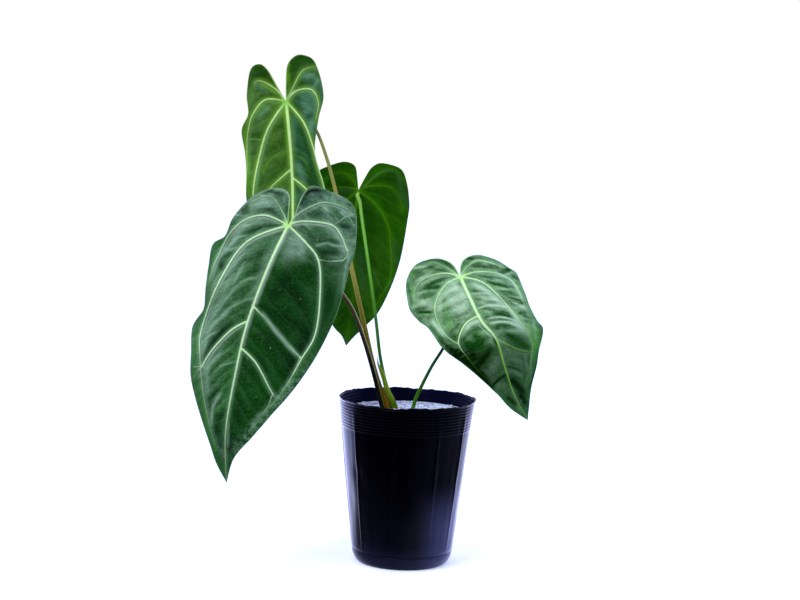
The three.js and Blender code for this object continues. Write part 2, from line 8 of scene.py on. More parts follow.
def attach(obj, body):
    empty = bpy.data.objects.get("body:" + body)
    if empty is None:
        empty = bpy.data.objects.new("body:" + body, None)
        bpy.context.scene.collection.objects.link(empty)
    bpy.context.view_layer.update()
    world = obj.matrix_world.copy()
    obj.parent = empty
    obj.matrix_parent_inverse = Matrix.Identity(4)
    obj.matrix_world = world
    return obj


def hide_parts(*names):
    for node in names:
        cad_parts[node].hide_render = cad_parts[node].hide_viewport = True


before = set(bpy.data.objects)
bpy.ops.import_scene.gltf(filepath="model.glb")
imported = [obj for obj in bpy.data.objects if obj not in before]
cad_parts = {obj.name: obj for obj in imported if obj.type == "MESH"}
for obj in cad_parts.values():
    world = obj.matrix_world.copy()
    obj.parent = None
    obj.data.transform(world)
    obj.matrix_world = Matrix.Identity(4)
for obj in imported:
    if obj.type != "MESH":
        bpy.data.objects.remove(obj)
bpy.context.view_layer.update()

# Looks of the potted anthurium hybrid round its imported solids. Lists of points and sizes are in
# millimetres, as in the solids, and become metres where a mesh is made.
mm = 0.001
collection = bpy.context.scene.collection


def paint(*shown):
    # a colour given as on a screen, 0 to 255, made linear
    parts = [value / 255 for value in shown]
    return (*(v / 12.92 if v <= 0.04045 else ((v + 0.055) / 1.055) ** 2.4 for v in parts), 1.0)


class Wire:
    # one output in a node tree, so that sums on it read as plain maths
    def __init__(self, maker, socket):
        self.maker = maker
        self.socket = socket

    def __add__(self, other):
        return self.maker.maths("ADD", self, other)

    def __radd__(self, other):
        return self.maker.maths("ADD", other, self)

    def __sub__(self, other):
        return self.maker.maths("SUBTRACT", self, other)

    def __rsub__(self, other):
        return self.maker.maths("SUBTRACT", other, self)

    def __mul__(self, other):
        return self.maker.maths("MULTIPLY", self, other)

    def __rmul__(self, other):
        return self.maker.maths("MULTIPLY", other, self)

    def __truediv__(self, other):
        return self.maker.maths("DIVIDE", self, other)

    def __rtruediv__(self, other):
        return self.maker.maths("DIVIDE", other, self)

    def __pow__(self, other):
        return self.maker.maths("POWER", self, other)

    def __neg__(self):
        return self.maker.maths("MULTIPLY", self, -1.0)

    def __abs__(self):
        return self.maker.maths("ABSOLUTE", self)

    def limited(self):
        # kept between 0 and 1
        return self.maker.maths("MINIMUM", self.maker.maths("MAXIMUM", self, 0.0), 1.0)

    def step(self, low, high):
        # soft step from 0 at low to 1 at high
        inputs = {"Value": self, "From Min": low, "From Max": high}
        return self.maker.wire("ShaderNodeMapRange", inputs, interpolation_type="SMOOTHSTEP")

    def bell(self, width):
        # 1 at zero, falling off over the width
        ratio = self / width
        return self.maker.maths("EXPONENT", -(ratio * ratio))


class Maker:
    # writes nodes into a shader tree or a geometry tree
    def __init__(self, tree):
        self.tree = tree

    def node(self, kind, inputs=None, **settings):
        made = self.tree.nodes.new(kind)
        for name, value in settings.items():
            setattr(made, name, value)
        for name, value in (inputs or {}).items():
            value = value.socket if isinstance(value, Wire) else value
            if isinstance(value, bpy.types.NodeSocket):
                self.tree.links.new(value, made.inputs[name])
            else:
                made.inputs[name].default_value = value
        return made

    def wire(self, kind, inputs=None, output=0, **settings):
        return Wire(self, self.node(kind, inputs, **settings).outputs[output])

    def maths(self, operation, *values):
        return self.wire("ShaderNodeMath", dict(enumerate(values)), operation=operation)

    def vectors(self, operation, *values, output=0):
        return self.wire("ShaderNodeVectorMath", dict(enumerate(values)), output, operation=operation)

    def blend(self, first, second, factor):
        # two colours mixed by a factor, which the node keeps between 0 and 1
        return self.wire("ShaderNodeMix", {0: factor, 6: first, 7: second}, 2, data_type="RGBA")

    def layers(self, color, *coats):
        # colours laid one over the other, each by its share
        for tone, share in coats:
            color = self.blend(color, tone, share)
        return color

    def ramp(self, stops, factor):
        made = self.node("ShaderNodeValToRGB", {0: factor})
        elements = made.color_ramp.elements
        while len(elements) < len(stops):
            elements.new(1.0)
        for element, (place, color) in zip(elements, stops):
            element.position = place
            element.color = color
        return Wire(self, made.outputs[0])

    def attribute(self, name):
        return self.wire("ShaderNodeAttribute", None, "Fac", attribute_name=name)

    def place(self, *stretch):
        # object coordinates, scaled on each axis where a stretch is given
        where = self.wire("ShaderNodeTexCoord", None, "Object")
        return self.vectors("MULTIPLY", where, stretch) if stretch else where

    def axis(self, where, index):
        return self.wire("ShaderNodeSeparateXYZ", {0: where}, index)

    def flat(self, *stretch):
        # place on the drawn-out blade, scaled on each axis
        return self.vectors("MULTIPLY", self.wire("ShaderNodeUVMap", uv_map="flat"), stretch)

    def noise(self, place, scale, detail=2.0, roughness=0.5):
        inputs = {"Vector": place, "Scale": scale, "Detail": detail, "Roughness": roughness}
        return self.wire("ShaderNodeTexNoise", inputs)

    def cells(self, place, scale, feature="F1"):
        return self.wire("ShaderNodeTexVoronoi", {"Vector": place, "Scale": scale}, feature=feature)


def newMaterial(name):
    material = bpy.data.materials.new(name)
    material.use_nodes = True
    material.node_tree.nodes.clear()
    maker = Maker(material.node_tree)
    maker.material = material
    return maker


def closeMaterial(maker, color, roughness, relief=None, more=None):
    # relief is the height, the strength and the distance of the fine bumps
    inputs = {"Base Color": color, "Roughness": roughness, **(more or {})}
    if relief:
        bump = dict(zip(("Height", "Strength", "Distance"), relief))
        inputs["Normal"] = maker.wire("ShaderNodeBump", bump)
    maker.node("ShaderNodeOutputMaterial", {"Surface": maker.wire("ShaderNodeBsdfPrincipled", inputs)})
    return maker.material


def newTree(name, lengths, counts):
    # a Geometry Nodes tree, and its inputs by name
    tree = bpy.data.node_groups.new(name, "GeometryNodeTree")
    kinds = {"Geometry": "Geometry", **dict.fromkeys(lengths, "Float"), **dict.fromkeys(counts, "Int")}
    for label, kind in kinds.items():
        tree.interface.new_socket(label, in_out="INPUT", socket_type="NodeSocket" + kind)
    tree.interface.new_socket("Geometry", in_out="OUTPUT", socket_type="NodeSocketGeometry")
    maker = Maker(tree)
    given = maker.node("NodeGroupInput").outputs
    return maker, {label: Wire(maker, given[label]) for label in kinds}


def closeTree(maker, body, material):
    body = maker.wire("GeometryNodeSetShadeSmooth", {"Geometry": body})
    body = maker.wire("GeometryNodeSetMaterial", {"Geometry": body, "Material": material})
    maker.node("NodeGroupOutput", {"Geometry": body})
    return maker.tree


def bake(made, modifier):
    # the modifier's result as a plain mesh on the same object
    graph = bpy.context.evaluated_depsgraph_get()
    result = bpy.data.meshes.new_from_object(made.evaluated_get(graph))
    made.modifiers.remove(modifier)
    made.data = result


def runTree(made, tree, values):
    modifier = made.modifiers.new("build", "NODES")
    modifier.node_group = tree
    for item in tree.interface.items_tree:
        if item.in_out == "INPUT" and item.name in values:
            modifier[item.identifier] = values[item.name]
    bake(made, modifier)


def linkObject(name, data):
    made = bpy.data.objects.new(name, data)
    collection.objects.link(made)
    return made


def meshObject(name, points, faces, material):
    # points in millimetres, faces as lists of corners
    mesh = bpy.data.meshes.new(name)
    mesh.from_pydata((np.asarray(points, float) * mm).tolist(), [], faces)
    mesh.update()
    mesh.shade_smooth()
    mesh.materials.append(material)
    return linkObject(name, mesh)


def addAttributes(made, attributes):
    for name, values in attributes.items():
        layer = made.data.attributes.new(name, "FLOAT", "POINT")
        layer.data.foreach_set("value", np.asarray(values, np.float32))


def dress(piece, node, slot):
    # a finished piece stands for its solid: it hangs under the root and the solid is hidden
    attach(piece, "root")
    if node:
        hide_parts(node)


def smoothStep(values, low, high):
    t = np.clip((values - low) / (high - low), 0, 1)
    return t * t * (3 - 2 * t)


def softDip(distance, width):
    return np.exp(-((distance / width) ** 2))


# Camera and light, in metres and degrees.
studio = {
    "place": (0.0, -2.0, 0.493),
    "pitchDown": 5.84,
    "yaw": -0.34,
    "roll": 2.09,
    "lens": 83.1,
    "clipEnd": 100,
    # colour and strength of the tent's parts, and where the upper and the back part begin
    "front": ((0.010, 0.011, 0.018, 1.0), 1.0),
    "above": ((0.94, 0.97, 1.06, 1.0), 1.2),
    "back": ((0.75, 0.78, 1.27, 1.0), 2.0),
    "seen": ((1.0, 1.0, 1.0, 1.0), 1.0),
    "aboveFrom": (0.35, 0.75),
    "backFrom": (0.04, 0.16),
    # place, size and power of each lamp
    "lamps": {"keyLamp": ((-1.0, -1.5, 2.1), 0.8, 38.0), "sideLamp": ((1.6, -1.1, 1.1), 0.6, 3.0)},
    "aim": (-0.06, 0.0, 0.28),
    "floorColors": (paint(188, 194, 232), paint(222, 227, 255)),
    "floorTint": (0.76, 0.82, 1.0, 1.0),
    "floorGlow": 0.5,
    # the pale floor as seen from above, in metres; it ends a little in front of the pot
    "floorCorners": [
        (-9, 1.1), (-0.34, -0.03), (-0.17, -0.17), (0.04, -0.2), (0.4, -0.62), (9, -6), (9, 9), (-9, 9),
    ],
}


def makeCamera():
    pitch, yaw, roll = (math.radians(studio[key]) for key in ("pitchDown", "yaw", "roll"))
    ahead = Vector((math.sin(yaw) * math.cos(pitch), math.cos(yaw) * math.cos(pitch), -math.sin(pitch)))
    level = Vector((math.cos(yaw), -math.sin(yaw), 0))
    above = level.cross(ahead)
    right = math.cos(roll) * level + math.sin(roll) * above
    up = math.cos(roll) * above - math.sin(roll) * level
    data = bpy.data.cameras.new("camera")
    data.lens = studio["lens"]
    data.clip_end = studio["clipEnd"]
    camera = linkObject("camera", data)
    turn = Matrix((right, up, -ahead)).transposed()
    camera.matrix_world = Matrix.Translation(studio["place"]) @ turn.to_4x4()
    bpy.context.scene.camera = camera


def makeWorld():
    # a bright white tent behind and beside the plant, softer above, open and dim towards the front
    world = bpy.data.worlds.new("studio")
    bpy.context.scene.world = world
    world.use_nodes = True
    world.node_tree.nodes.clear()
    maker = Maker(world.node_tree)
    direction = maker.wire("ShaderNodeTexCoord", None, "Generated")

    def glow(part):
        color, strength = studio[part]
        return maker.wire("ShaderNodeBackground", {"Color": color, "Strength": strength})

    light = glow("front")
    for part, share in (
        ("above", maker.axis(direction, 2).step(*studio["aboveFrom"])),
        ("back", maker.axis(direction, 1).step(*studio["backFrom"])),
        ("seen", maker.wire("ShaderNodeLightPath", None, "Is Camera Ray")),
    ):
        light = maker.wire("ShaderNodeMixShader", {0: share, 1: light, 2: glow(part)})
    maker.node("ShaderNodeOutputWorld", {"Surface": light})


def makeLamps():
    for name, (place, size, power) in studio["lamps"].items():
        data = bpy.data.lights.new(name, "AREA")
        data.size = size
        data.energy = power
        lamp = linkObject(name, data)
        lamp.location = place
        lamp.rotation_euler = (Vector(studio["aim"]) - Vector(place)).to_track_quat("-Z", "Y").to_euler()


def makeFloor():
    maker = newMaterial("paleFloor")
    tone = maker.blend(*studio["floorColors"], maker.noise(maker.place(), 9.0, 3.0))
    more = {"Specular IOR Level": 0.1, "Emission Color": studio["floorTint"]}
    more["Emission Strength"] = studio["floorGlow"]
    material = closeMaterial(maker, tone, 0.9, None, more)
    corners = [(x / mm, y / mm, 0) for x, y in studio["floorCorners"]]
    floor = meshObject("floor", corners, [list(range(len(corners)))], material)


makeCamera()
makeWorld()
makeLamps()
makeFloor()
bpy.context.scene.view_settings.view_transform = "Standard"
print("camera, light and floor are in place")


# Curves, as the solids draw them.
def smoothLine(p, perSpan, slopes):
    # cubic spans between the points, of which the first and the last only give the ends' slopes
    t = np.linspace(0, 1, perSpan, endpoint=False)[:, None]
    spans = []
    for a, b, c, d in zip(p, p[1:], p[2:], p[3:]):
        leave, arrive = slopes(a, b, c, d)
        spans.append(
            (2 * t**3 - 3 * t**2 + 1) * b + (t**3 - 2 * t**2 + t) * leave
            + (3 * t**2 - 2 * t**3) * c + (t**3 - t**2) * arrive
        )
    return np.vstack([*spans, p[-2:-1]])


def throughPoints(points, perSpan):
    # uniform Catmull-Rom curve
    p = np.array(points, float)
    return smoothLine(
        np.vstack([p[:1], p, p[-1:]]), perSpan, lambda a, b, c, d: ((c - a) / 2, (d - b) / 2)
    )


def centripetal(points, perSpan):
    # centripetal Catmull-Rom curve, with its ends carried straight on
    def slopes(a, b, c, d):
        ab, bc, cd = (np.linalg.norm(v) ** 0.5 for v in (b - a, c - b, d - c))
        return (
            ((b - a) / ab - (c - a) / (ab + bc) + (c - b) / bc) * bc,
            ((c - b) / bc - (d - b) / (bc + cd) + (d - c) / cd) * bc,
        )

    p = np.array(points, float)
    return smoothLine(np.vstack([2 * p[0] - p[1], p, 2 * p[-1] - p[-2]]), perSpan, slopes)


def atFractions(line, fractions):
    # points at fractions of a polyline's length
    length = np.concatenate([[0], np.cumsum(np.linalg.norm(np.diff(line, axis=0), axis=1))])
    wanted = np.asarray(fractions) * length[-1]
    return np.stack([np.interp(wanted, length, line[:, k]) for k in range(line.shape[1])], -1)


def edgeCurves(leaf, hand, perSpan):
    # inner lobe edge and outer margin of one half, from the lobe's top, smooth where they meet
    inner, outer = leaf["sinus" + hand], leaf["margin" + hand]
    whole = throughPoints([*inner[::-1], *outer[1:]], perSpan)
    top = (len(inner) - 1) * perSpan
    return whole[: top + 1][::-1], whole[top:]


def nearestOn(line, u, s):
    # for each point: the least distance to a polyline, the side it is on and how far along it is
    least = np.full(u.shape, np.inf)
    side, along = np.ones(u.shape), np.zeros(u.shape)
    start = 0.0
    for (au, asx), (bu, bsx) in zip(line, line[1:]):
        du, ds = bu - au, bsx - asx
        size = math.hypot(du, ds)
        if size < 1e-9:
            continue
        t = np.clip(((u - au) * du + (s - asx) * ds) / size**2, 0, 1)
        away = np.hypot(u - au - t * du, s - asx - t * ds)
        closer = away < least
        least = np.where(closer, away, least)
        side = np.where(closer, np.where(du * (s - asx) - ds * (u - au) < 0, -1.0, 1.0), side)
        along = np.where(closer, start + t * size, along)
        start += size
    return least, side, along / start


def cellFaces(ids):
    # faces of a grid of corner numbers
    return np.stack([ids[:-1, :-1], ids[:-1, 1:], ids[1:, 1:], ids[1:, :-1]], -1).reshape(-1, 4)


def cornerNormals(points, faces):
    quads = np.array([f if len(f) == 4 else f + f[-1:] for f in faces])
    normal = np.cross(points[quads[:, 2]] - points[quads[:, 0]], points[quads[:, 3]] - points[quads[:, 1]])
    triangles = quads[:, 2] == quads[:, 3]
    a, b, c = (points[quads[triangles, k]] for k in range(3))
    normal[triangles] = np.cross(b - a, c - a)
    total = np.zeros_like(points)
    for k in range(4):
        np.add.at(total, quads[:, k], normal)
    return total / np.linalg.norm(total, axis=1)[:, None]


def thickSheet(name, middle, faces, above, below, material):
    # a closed sheet from its middle, its corners' normals and its depth to both sides
    normals = cornerNormals(middle, faces)
    points = np.vstack([middle + normals * above[:, None], middle - normals * below[:, None]])
    count = len(middle)
    directed = {edge for face in faces for edge in zip(face, face[1:] + face[:1])}
    outline = sorted((a, b) for a, b in directed if (b, a) not in directed)
    walls = [[b, a, count + a, count + b] for a, b in outline]
    under = [[count + k for k in reversed(face)] for face in faces]
    return meshObject(name, points, faces + under + walls, material)
# Blades. Each is drawn flat, seen on its upper face: u runs across, to the right, and s runs from
# the junction with the petiole to the tip. The forms follow the solids' own formula. Angles are in
# degrees. The bend is the slope before and after a place, that place and its softness. A wave is its
# side, height, length and phase. The ladder is the row of fine side veins, with how far apart they
# are and their slopes near the junction and farther down. A link joins two veins, and is its breadth,
# its shine and its points. A row of ribTones is a vein's weight, its shine and its lit flank along it.
blades = {
    "front": {
        "junction": (-131.1, -75, 370.4), "facing": -5, "tilt": 13, "spin": 9.6, "halfWidth": 75, "cup": -9,
        "fold": -5, "lobeDroop": -8, "funnel": (5, 26), "bend": (0.02, -0.05, 150, 40),
        "waves": [(-1, 5, 88, 2.2), (1, 2.5, 110, 0.6)], "pool": 0.5, "quilt": (1.7, 8), "curl": (2, 6),
        "level": 0.26, "grid": (64, 260, 70),
        "ladder": {"pitch": 17, "left": (0.45, 1.25), "right": (0.2, 0.8), "height": 0.5, "wander": 2.6},
        "midrib": [(0, 0), (-10, 53), (-17, 110), (-17, 161), (-13, 224), (0, 275)],
        "sinusLeft": [(-25, -34), (-11, -35), (-4, -28), (-2, -14), (0, 0)],
        "marginLeft": [
            (-25, -34), (-43, -23), (-59, 4), (-64, 24), (-76, 36), (-73, 62), (-69, 89), (-68, 105),
            (-76, 125), (-69, 153), (-63, 177), (-53, 198), (-41, 218), (-28, 238), (-15, 258), (0, 275),
        ],
        "sinusRight": [(20, -45), (11, -37), (7, -23), (5, -13), (0, 0)],
        "marginRight": [
            (20, -45), (54, -40), (67, -25), (74, 8), (73, 31), (72, 61), (69, 90), (63, 119), (55, 144),
            (43, 172), (30, 196), (16, 223), (2, 249), (0, 275),
        ],
        "ribs": [
            [(0, 0), (-7, -10), (-14, -18), (-23, -25), (-34, -24), (-42, -15), (-40, -3)],
            [(0, 0), (-25, -5), (-46, 4), (-60, 23), (-67, 51), (-68, 72)],
            [(0, 0), (-38, 26), (-55, 65), (-65, 124), (-58, 156), (-42, 200), (-21, 240)],
            [(0, 0), (6, -11), (17, -22), (28, -30), (35, -32), (49, -32), (60, -28)],
            [(0, 0), (14, -7), (43, -10), (56, -2), (66, 13)],
            [(0, 0), (22, 14), (40, 30), (49, 62), (54, 105), (46, 134), (35, 170), (17, 206)],
            [(-19, 109), (-31, 119), (-41, 133), (-49, 148), (-54, 164)],
            [(-15, 91), (0, 101), (16, 111), (30, 122), (45, 133)],
            [(-16, 137), (-1, 146), (10, 157), (19, 168), (26, 176)],
        ],
        "links": [
            (1.0, (0.3, 0.5, 0.4, 0.1), [(47, -11), (52, -16), (57, -22), (61, -21), (68, -13)]),
            (1.1, (1, 0.5, 0.3, 0.5, 0.9, 1, 1), [(39, 29), (52, 28), (65, 24)]),
            (1.0, (0.9, 0.7), [(65, 24), (68, 17), (66, 11)]),
            (1.0, (0.5, 0.3, 0.1), [(44, 132), (43, 140), (42, 148), (38, 160), (32, 172)]),
            (1.0, (0.9, 0.5, 0.2), [(26, 176), (25, 180), (24, 188), (21, 197)]),
            (0.9, (0.6, 0.7), [(-54, 163), (-62, 166)]),
        ],
        "ribWidths": (1.45, 0.5, 0.9, 0.4),
        "middleTone": ((1, 1, 1, 1, 1, 0.9, 0.7, 0.4, 0.15), (0.9, 1, 0.8, 0.4, 0.15, 0.05, 0.0)),
        "ribTones": [
            (0.85, (0.8, 0.55, 0.25, 0.3, 0.25, 0.15, 0.1), (0.1, 0.3, 0.1)),
            (1.0, (1, 1, 0.8, 0.6, 0.5, 0.2), (0.7, 0.8, 0.7, 0.5, 0.2)),
            (1.0, (1, 1, 1, 1, 0.9, 0.8, 0.3, 0.3, 0.2, 0.1), (0.9, 0.9, 0.8, 0.5, 0.3, 0.15, 0.1)),
            (0.9, (0.8, 0.7, 0.6, 0.5, 0.3, 0.1), (0.1, 0.3, 0.6, 0.6)),
            (1.0, (1, 0.9, 1, 1, 0.9, 0.8), (0.9, 0.9, 0.8, 0.5, 0.3)),
            (1.05, (1, 0.9, 1, 1, 1, 1, 1, 0.9, 0.25, 0.1, 0.0), (0.2, 0.0, 0.0, 0.0)),
            (1.05, (1, 1, 1), (0.4, 0.8, 0.8)), (1.0, (1, 0.5, 0.15, 0.1, 0.1, 0.1, 0.15, 0.5, 1), (0.0,)),
            (1.0, (1, 1, 1, 1, 0.9), (0.0,)),
        ],
    },
    "top": {
        "junction": (-143.7, 18, 499.3), "facing": 4, "tilt": 7, "spin": -3.2, "halfWidth": 44, "cup": -6,
        "fold": -5, "lobeDroop": -4, "funnel": (4, 18), "bend": (0, -0.08, 150, 40),
        "waves": [(-1, 3, 75, 0.5), (1, 3, 85, 2.4)], "pool": 0.5, "quilt": (1.3, 7), "curl": (2, 2),
        "level": 0.22, "grid": (52, 230, 46),
        "ladder": {"pitch": 16, "left": (0.2, 0.8), "right": (0.2, 0.8), "height": 0.8, "wander": 2.0},
        "midrib": [(0, 0), (4, 66), (4, 126), (0, 192), (0, 254)],
        "sinusLeft": [(-28, -41), (-19, -34), (-9, -16), (0, 0)],
        "marginLeft": [
            (-28, -41), (-38, -35), (-42.5, -8), (-41.5, 13), (-49, 30), (-46, 55), (-45, 79), (-46, 104),
            (-42, 133), (-37, 157), (-30, 182), (-20, 206), (-9, 230), (0, 254),
        ],
        "sinusRight": [(20, -50), (10, -48), (2, -37), (0, -15), (0, 0)],
        "marginRight": [
            (20, -50), (33, -42), (41, -7), (35, 19), (30, 52), (34, 74), (42, 101), (45, 126), (41, 156),
            (35, 180), (24, 206), (12, 230), (0, 254),
        ],
        "ribs": [
            [(0, 0), (-12, -14), (-31, -23), (-38, -6)],
            [(0, 0), (-22, -2), (-36, 13), (-42, 31), (-44, 53), (-44, 74)],
            [(0, 0), (-20, 29), (-31, 62), (-38, 97), (-37, 130), (-29, 166), (-20, 200)],
            [(0, 0), (7, -13), (19, -33), (34, -38)], [(0, 0), (12, -11), (28, -12), (35, 2), (32, 19)],
            [(0, 0), (18, 23), (27, 47), (33, 72), (39, 97), (39, 128), (30, 165), (18, 200)],
            [(3, 75), (-9, 85), (-20, 95), (-29, 108), (-34, 123)], [(5, 84), (18, 95), (27, 107), (33, 124)],
        ],
        "links": [(0.8, (0.4,), [(-26, 42), (-33, 41), (-41, 40)])], "ribWidths": (1.6, 0.8, 0.95, 0.42),
        "middleTone": ((1,), (0.0,)),
        "ribTones": [
            (0.9, (1, 0.9, 0.8, 0.5, 0.0, 0.0), (0.1,)), (0.9, (0.9, 0.8, 0.6, 0.4), (0.3,)),
            (1.1, (0.9,), (0.5,)), (0.8, (0.7, 0.6, 0.5, 0.1), (0.1,)),
            (0.95, (1, 0.9, 0.9, 0.6, 0.4), (0.3,)), (0.95, (1, 0.9, 0.8, 0.6, 0.4, 0.3), (0.0,)),
            (0.75, (0.9, 0.7, 0.6), (0.2,)), (0.95, (1, 0.9, 0.8), (0.2,)),
        ],
    },
    "back": {
        "junction": (-63.5, 78, 403), "facing": 172, "tilt": 18, "spin": -5.6, "halfWidth": 55, "cup": -8,
        "fold": -3, "lobeDroop": -6, "funnel": (4, 20), "bend": (0, -0.1, 100, 30),
        "waves": [(-1, 2, 80, 0.5), (1, 2, 95, 2.4)], "pool": 0.4, "quilt": (1.3, 7), "curl": (2, 2),
        "level": 0.24, "grid": (44, 180, 50),
        "ladder": {"pitch": 15, "left": (0.2, 0.7), "right": (0.2, 0.7), "height": 0.7, "wander": 1.8},
        "midrib": [(0, 0), (3, 57), (-3, 128), (-1, 193)],
        "sinusLeft": [(-25, -35), (-13, -28), (-6, -15), (0, 0)],
        "marginLeft": [
            (-25, -35), (-49, -32), (-59, 2), (-59, 30), (-57, 60), (-53, 87), (-46, 115), (-35, 145),
            (-20, 167), (-9, 181), (-1, 193),
        ],
        "sinusRight": [(23, -29), (8, -27), (3, -14), (0, 0)],
        "marginRight": [
            (23, -29), (50, -14), (58, 14), (54, 50), (48, 80), (40, 109), (32, 141), (17, 170), (5, 182),
            (-1, 193),
        ],
        "ribs": [
            [(0, 0), (-12, -11), (-24, -24), (-39, -31), (-50, -22)],
            [(0, 0), (-12, -6), (-35, -9), (-47, 0), (-53, 17)],
            [(0, 0), (-23, 17), (-38, 39), (-44, 69), (-46, 98), (-37, 124), (-26, 150)],
            [(0, 0), (9, -12), (23, -18), (36, -12), (46, 1)],
            [(0, 0), (17, -1), (38, 6), (48, 20), (49, 41)],
            [(0, 0), (22, 26), (33, 57), (33, 91), (27, 124), (16, 157)],
        ],
        "links": [
            (0.8, (0.3, 0.1), [(1, 72), (14, 82), (24, 94), (31, 108)]),
            (0.8, (0.3, 0.1), [(-2, 90), (-17, 98), (-30, 112), (-38, 124)]),
        ],
        "ribWidths": (1.6, 0.7, 1.1, 0.6), "middleTone": ((1, 0.8, 0.7, 0.5, 0.2, 0.1, 0.05), (0.0,)),
        "ribTones": [
            (0.8, (0.3, 0.2, 0.1), (0.2,)), (0.9, (0.6, 0.4, 0.2), (0.1,)),
            (1.0, (0.8, 0.5, 0.4, 0.3, 0.1), (0.1,)), (0.8, (0.5, 0.3, 0.1), (0.1,)),
            (0.9, (0.6, 0.4, 0.3), (0.1,)), (1.0, (0.8, 0.5, 0.4, 0.3, 0.2), (0.1,)),
        ],
    },
    "right": {
        "junction": (52, -35, 319.1), "facing": 16, "tilt": 24, "spin": -20.3, "halfWidth": 58, "cup": -7,
        "fold": -3, "lobeDroop": -7, "funnel": (4, 20), "bend": (0.36, -0.42, 72, 9),
        "waves": [(-1, 3, 60, 1.2), (1, 3, 66, 2.8)], "pool": 1.0, "quilt": (2.2, 7), "curl": (2, 3),
        "level": 0.3, "grid": (56, 190, 62),
        "ladder": {
            "pitch": 11, "left": (-0.05, 0.25), "right": (0.4, 0.55), "height": 1.0, "wander": 1.8,
            "until": (78, 100),
        },
        "midrib": [(0, 0), (-6, 28), (-9, 57), (-3, 81), (-3, 111), (-1, 141), (6, 168)],
        "sinusLeft": [(-17, -31), (-6, -24), (0, -13), (0, 0)],
        "marginLeft": [
            (-17, -31), (-36, -32), (-55, -17), (-68, 10), (-65, 29), (-61, 41), (-61, 67), (-45, 91),
            (-33, 110), (-21, 130), (-10, 151), (6, 168),
        ],
        "sinusRight": [(30, -17), (15, -18), (6, -12), (0, 0)],
        "marginRight": [
            (30, -17), (45, -7), (57, 8), (63, 18), (56, 40), (51, 59), (52, 76), (56, 87), (42, 106),
            (33, 121), (22, 136), (14, 150), (6, 168),
        ],
        "ribs": [
            [(0, 0), (-8, -15), (-21, -28), (-38, -28)],
            [(0, 0), (-13, -10), (-35, -13), (-51, -6), (-61, 10)],
            [(0, 0), (-19, 2), (-37, 14), (-47, 30), (-50, 56), (-44, 69)],
            [(0, 0), (14, -9), (30, -9), (44, 1), (52, 15)],
            [(0, 0), (18, 1), (40, 11), (51, 24), (50, 48), (47, 67)],
            [(0, 0), (19, 18), (30, 66), (37, 95), (27, 116), (9, 142)],
            [(-8, 50), (-26, 53), (-42, 69), (-38, 87), (-30, 106), (-20, 124)],
            [(-2, 81), (8, 90), (18, 98), (30, 104)],
        ],
        "links": [], "ribWidths": (1.75, 0.4, 0.85, 0.4),
        "middleTone": ((1, 1, 1, 0.9, 0.8, 0.6, 0.5, 0.4, 0.2), (0.1, 0.3, 0.2, 0.0)),
        "ribTones": [
            (0.8, (0.5, 0.3, 0.15, 0.0), (0.1,)), (0.9, (1, 0.7, 0.35, 0.15, 0.0), (0.4, 0.5, 0.3)),
            (0.8, (1, 0.6, 0.5, 0.7, 0.6, 0.45, 0.9), (0.1,)), (0.8, (0.45, 0.3, 0.15, 0.0), (0.2,)),
            (0.9, (0.9, 0.6, 0.3, 0.15, 0.0), (0.2, 0.4, 0.3)),
            (0.9, (1, 0.8, 0.6, 0.5, 0.4, 0.2, 0.0), (0.0,)),
            (0.9, (1, 0.8, 0.8, 0.8, 0.12, 0.08, 0.05, 0.0), (0.1,)), (1.3, (0.35, 0.3, 0.25, 0.2), (0.1,)),
        ],
    },
}
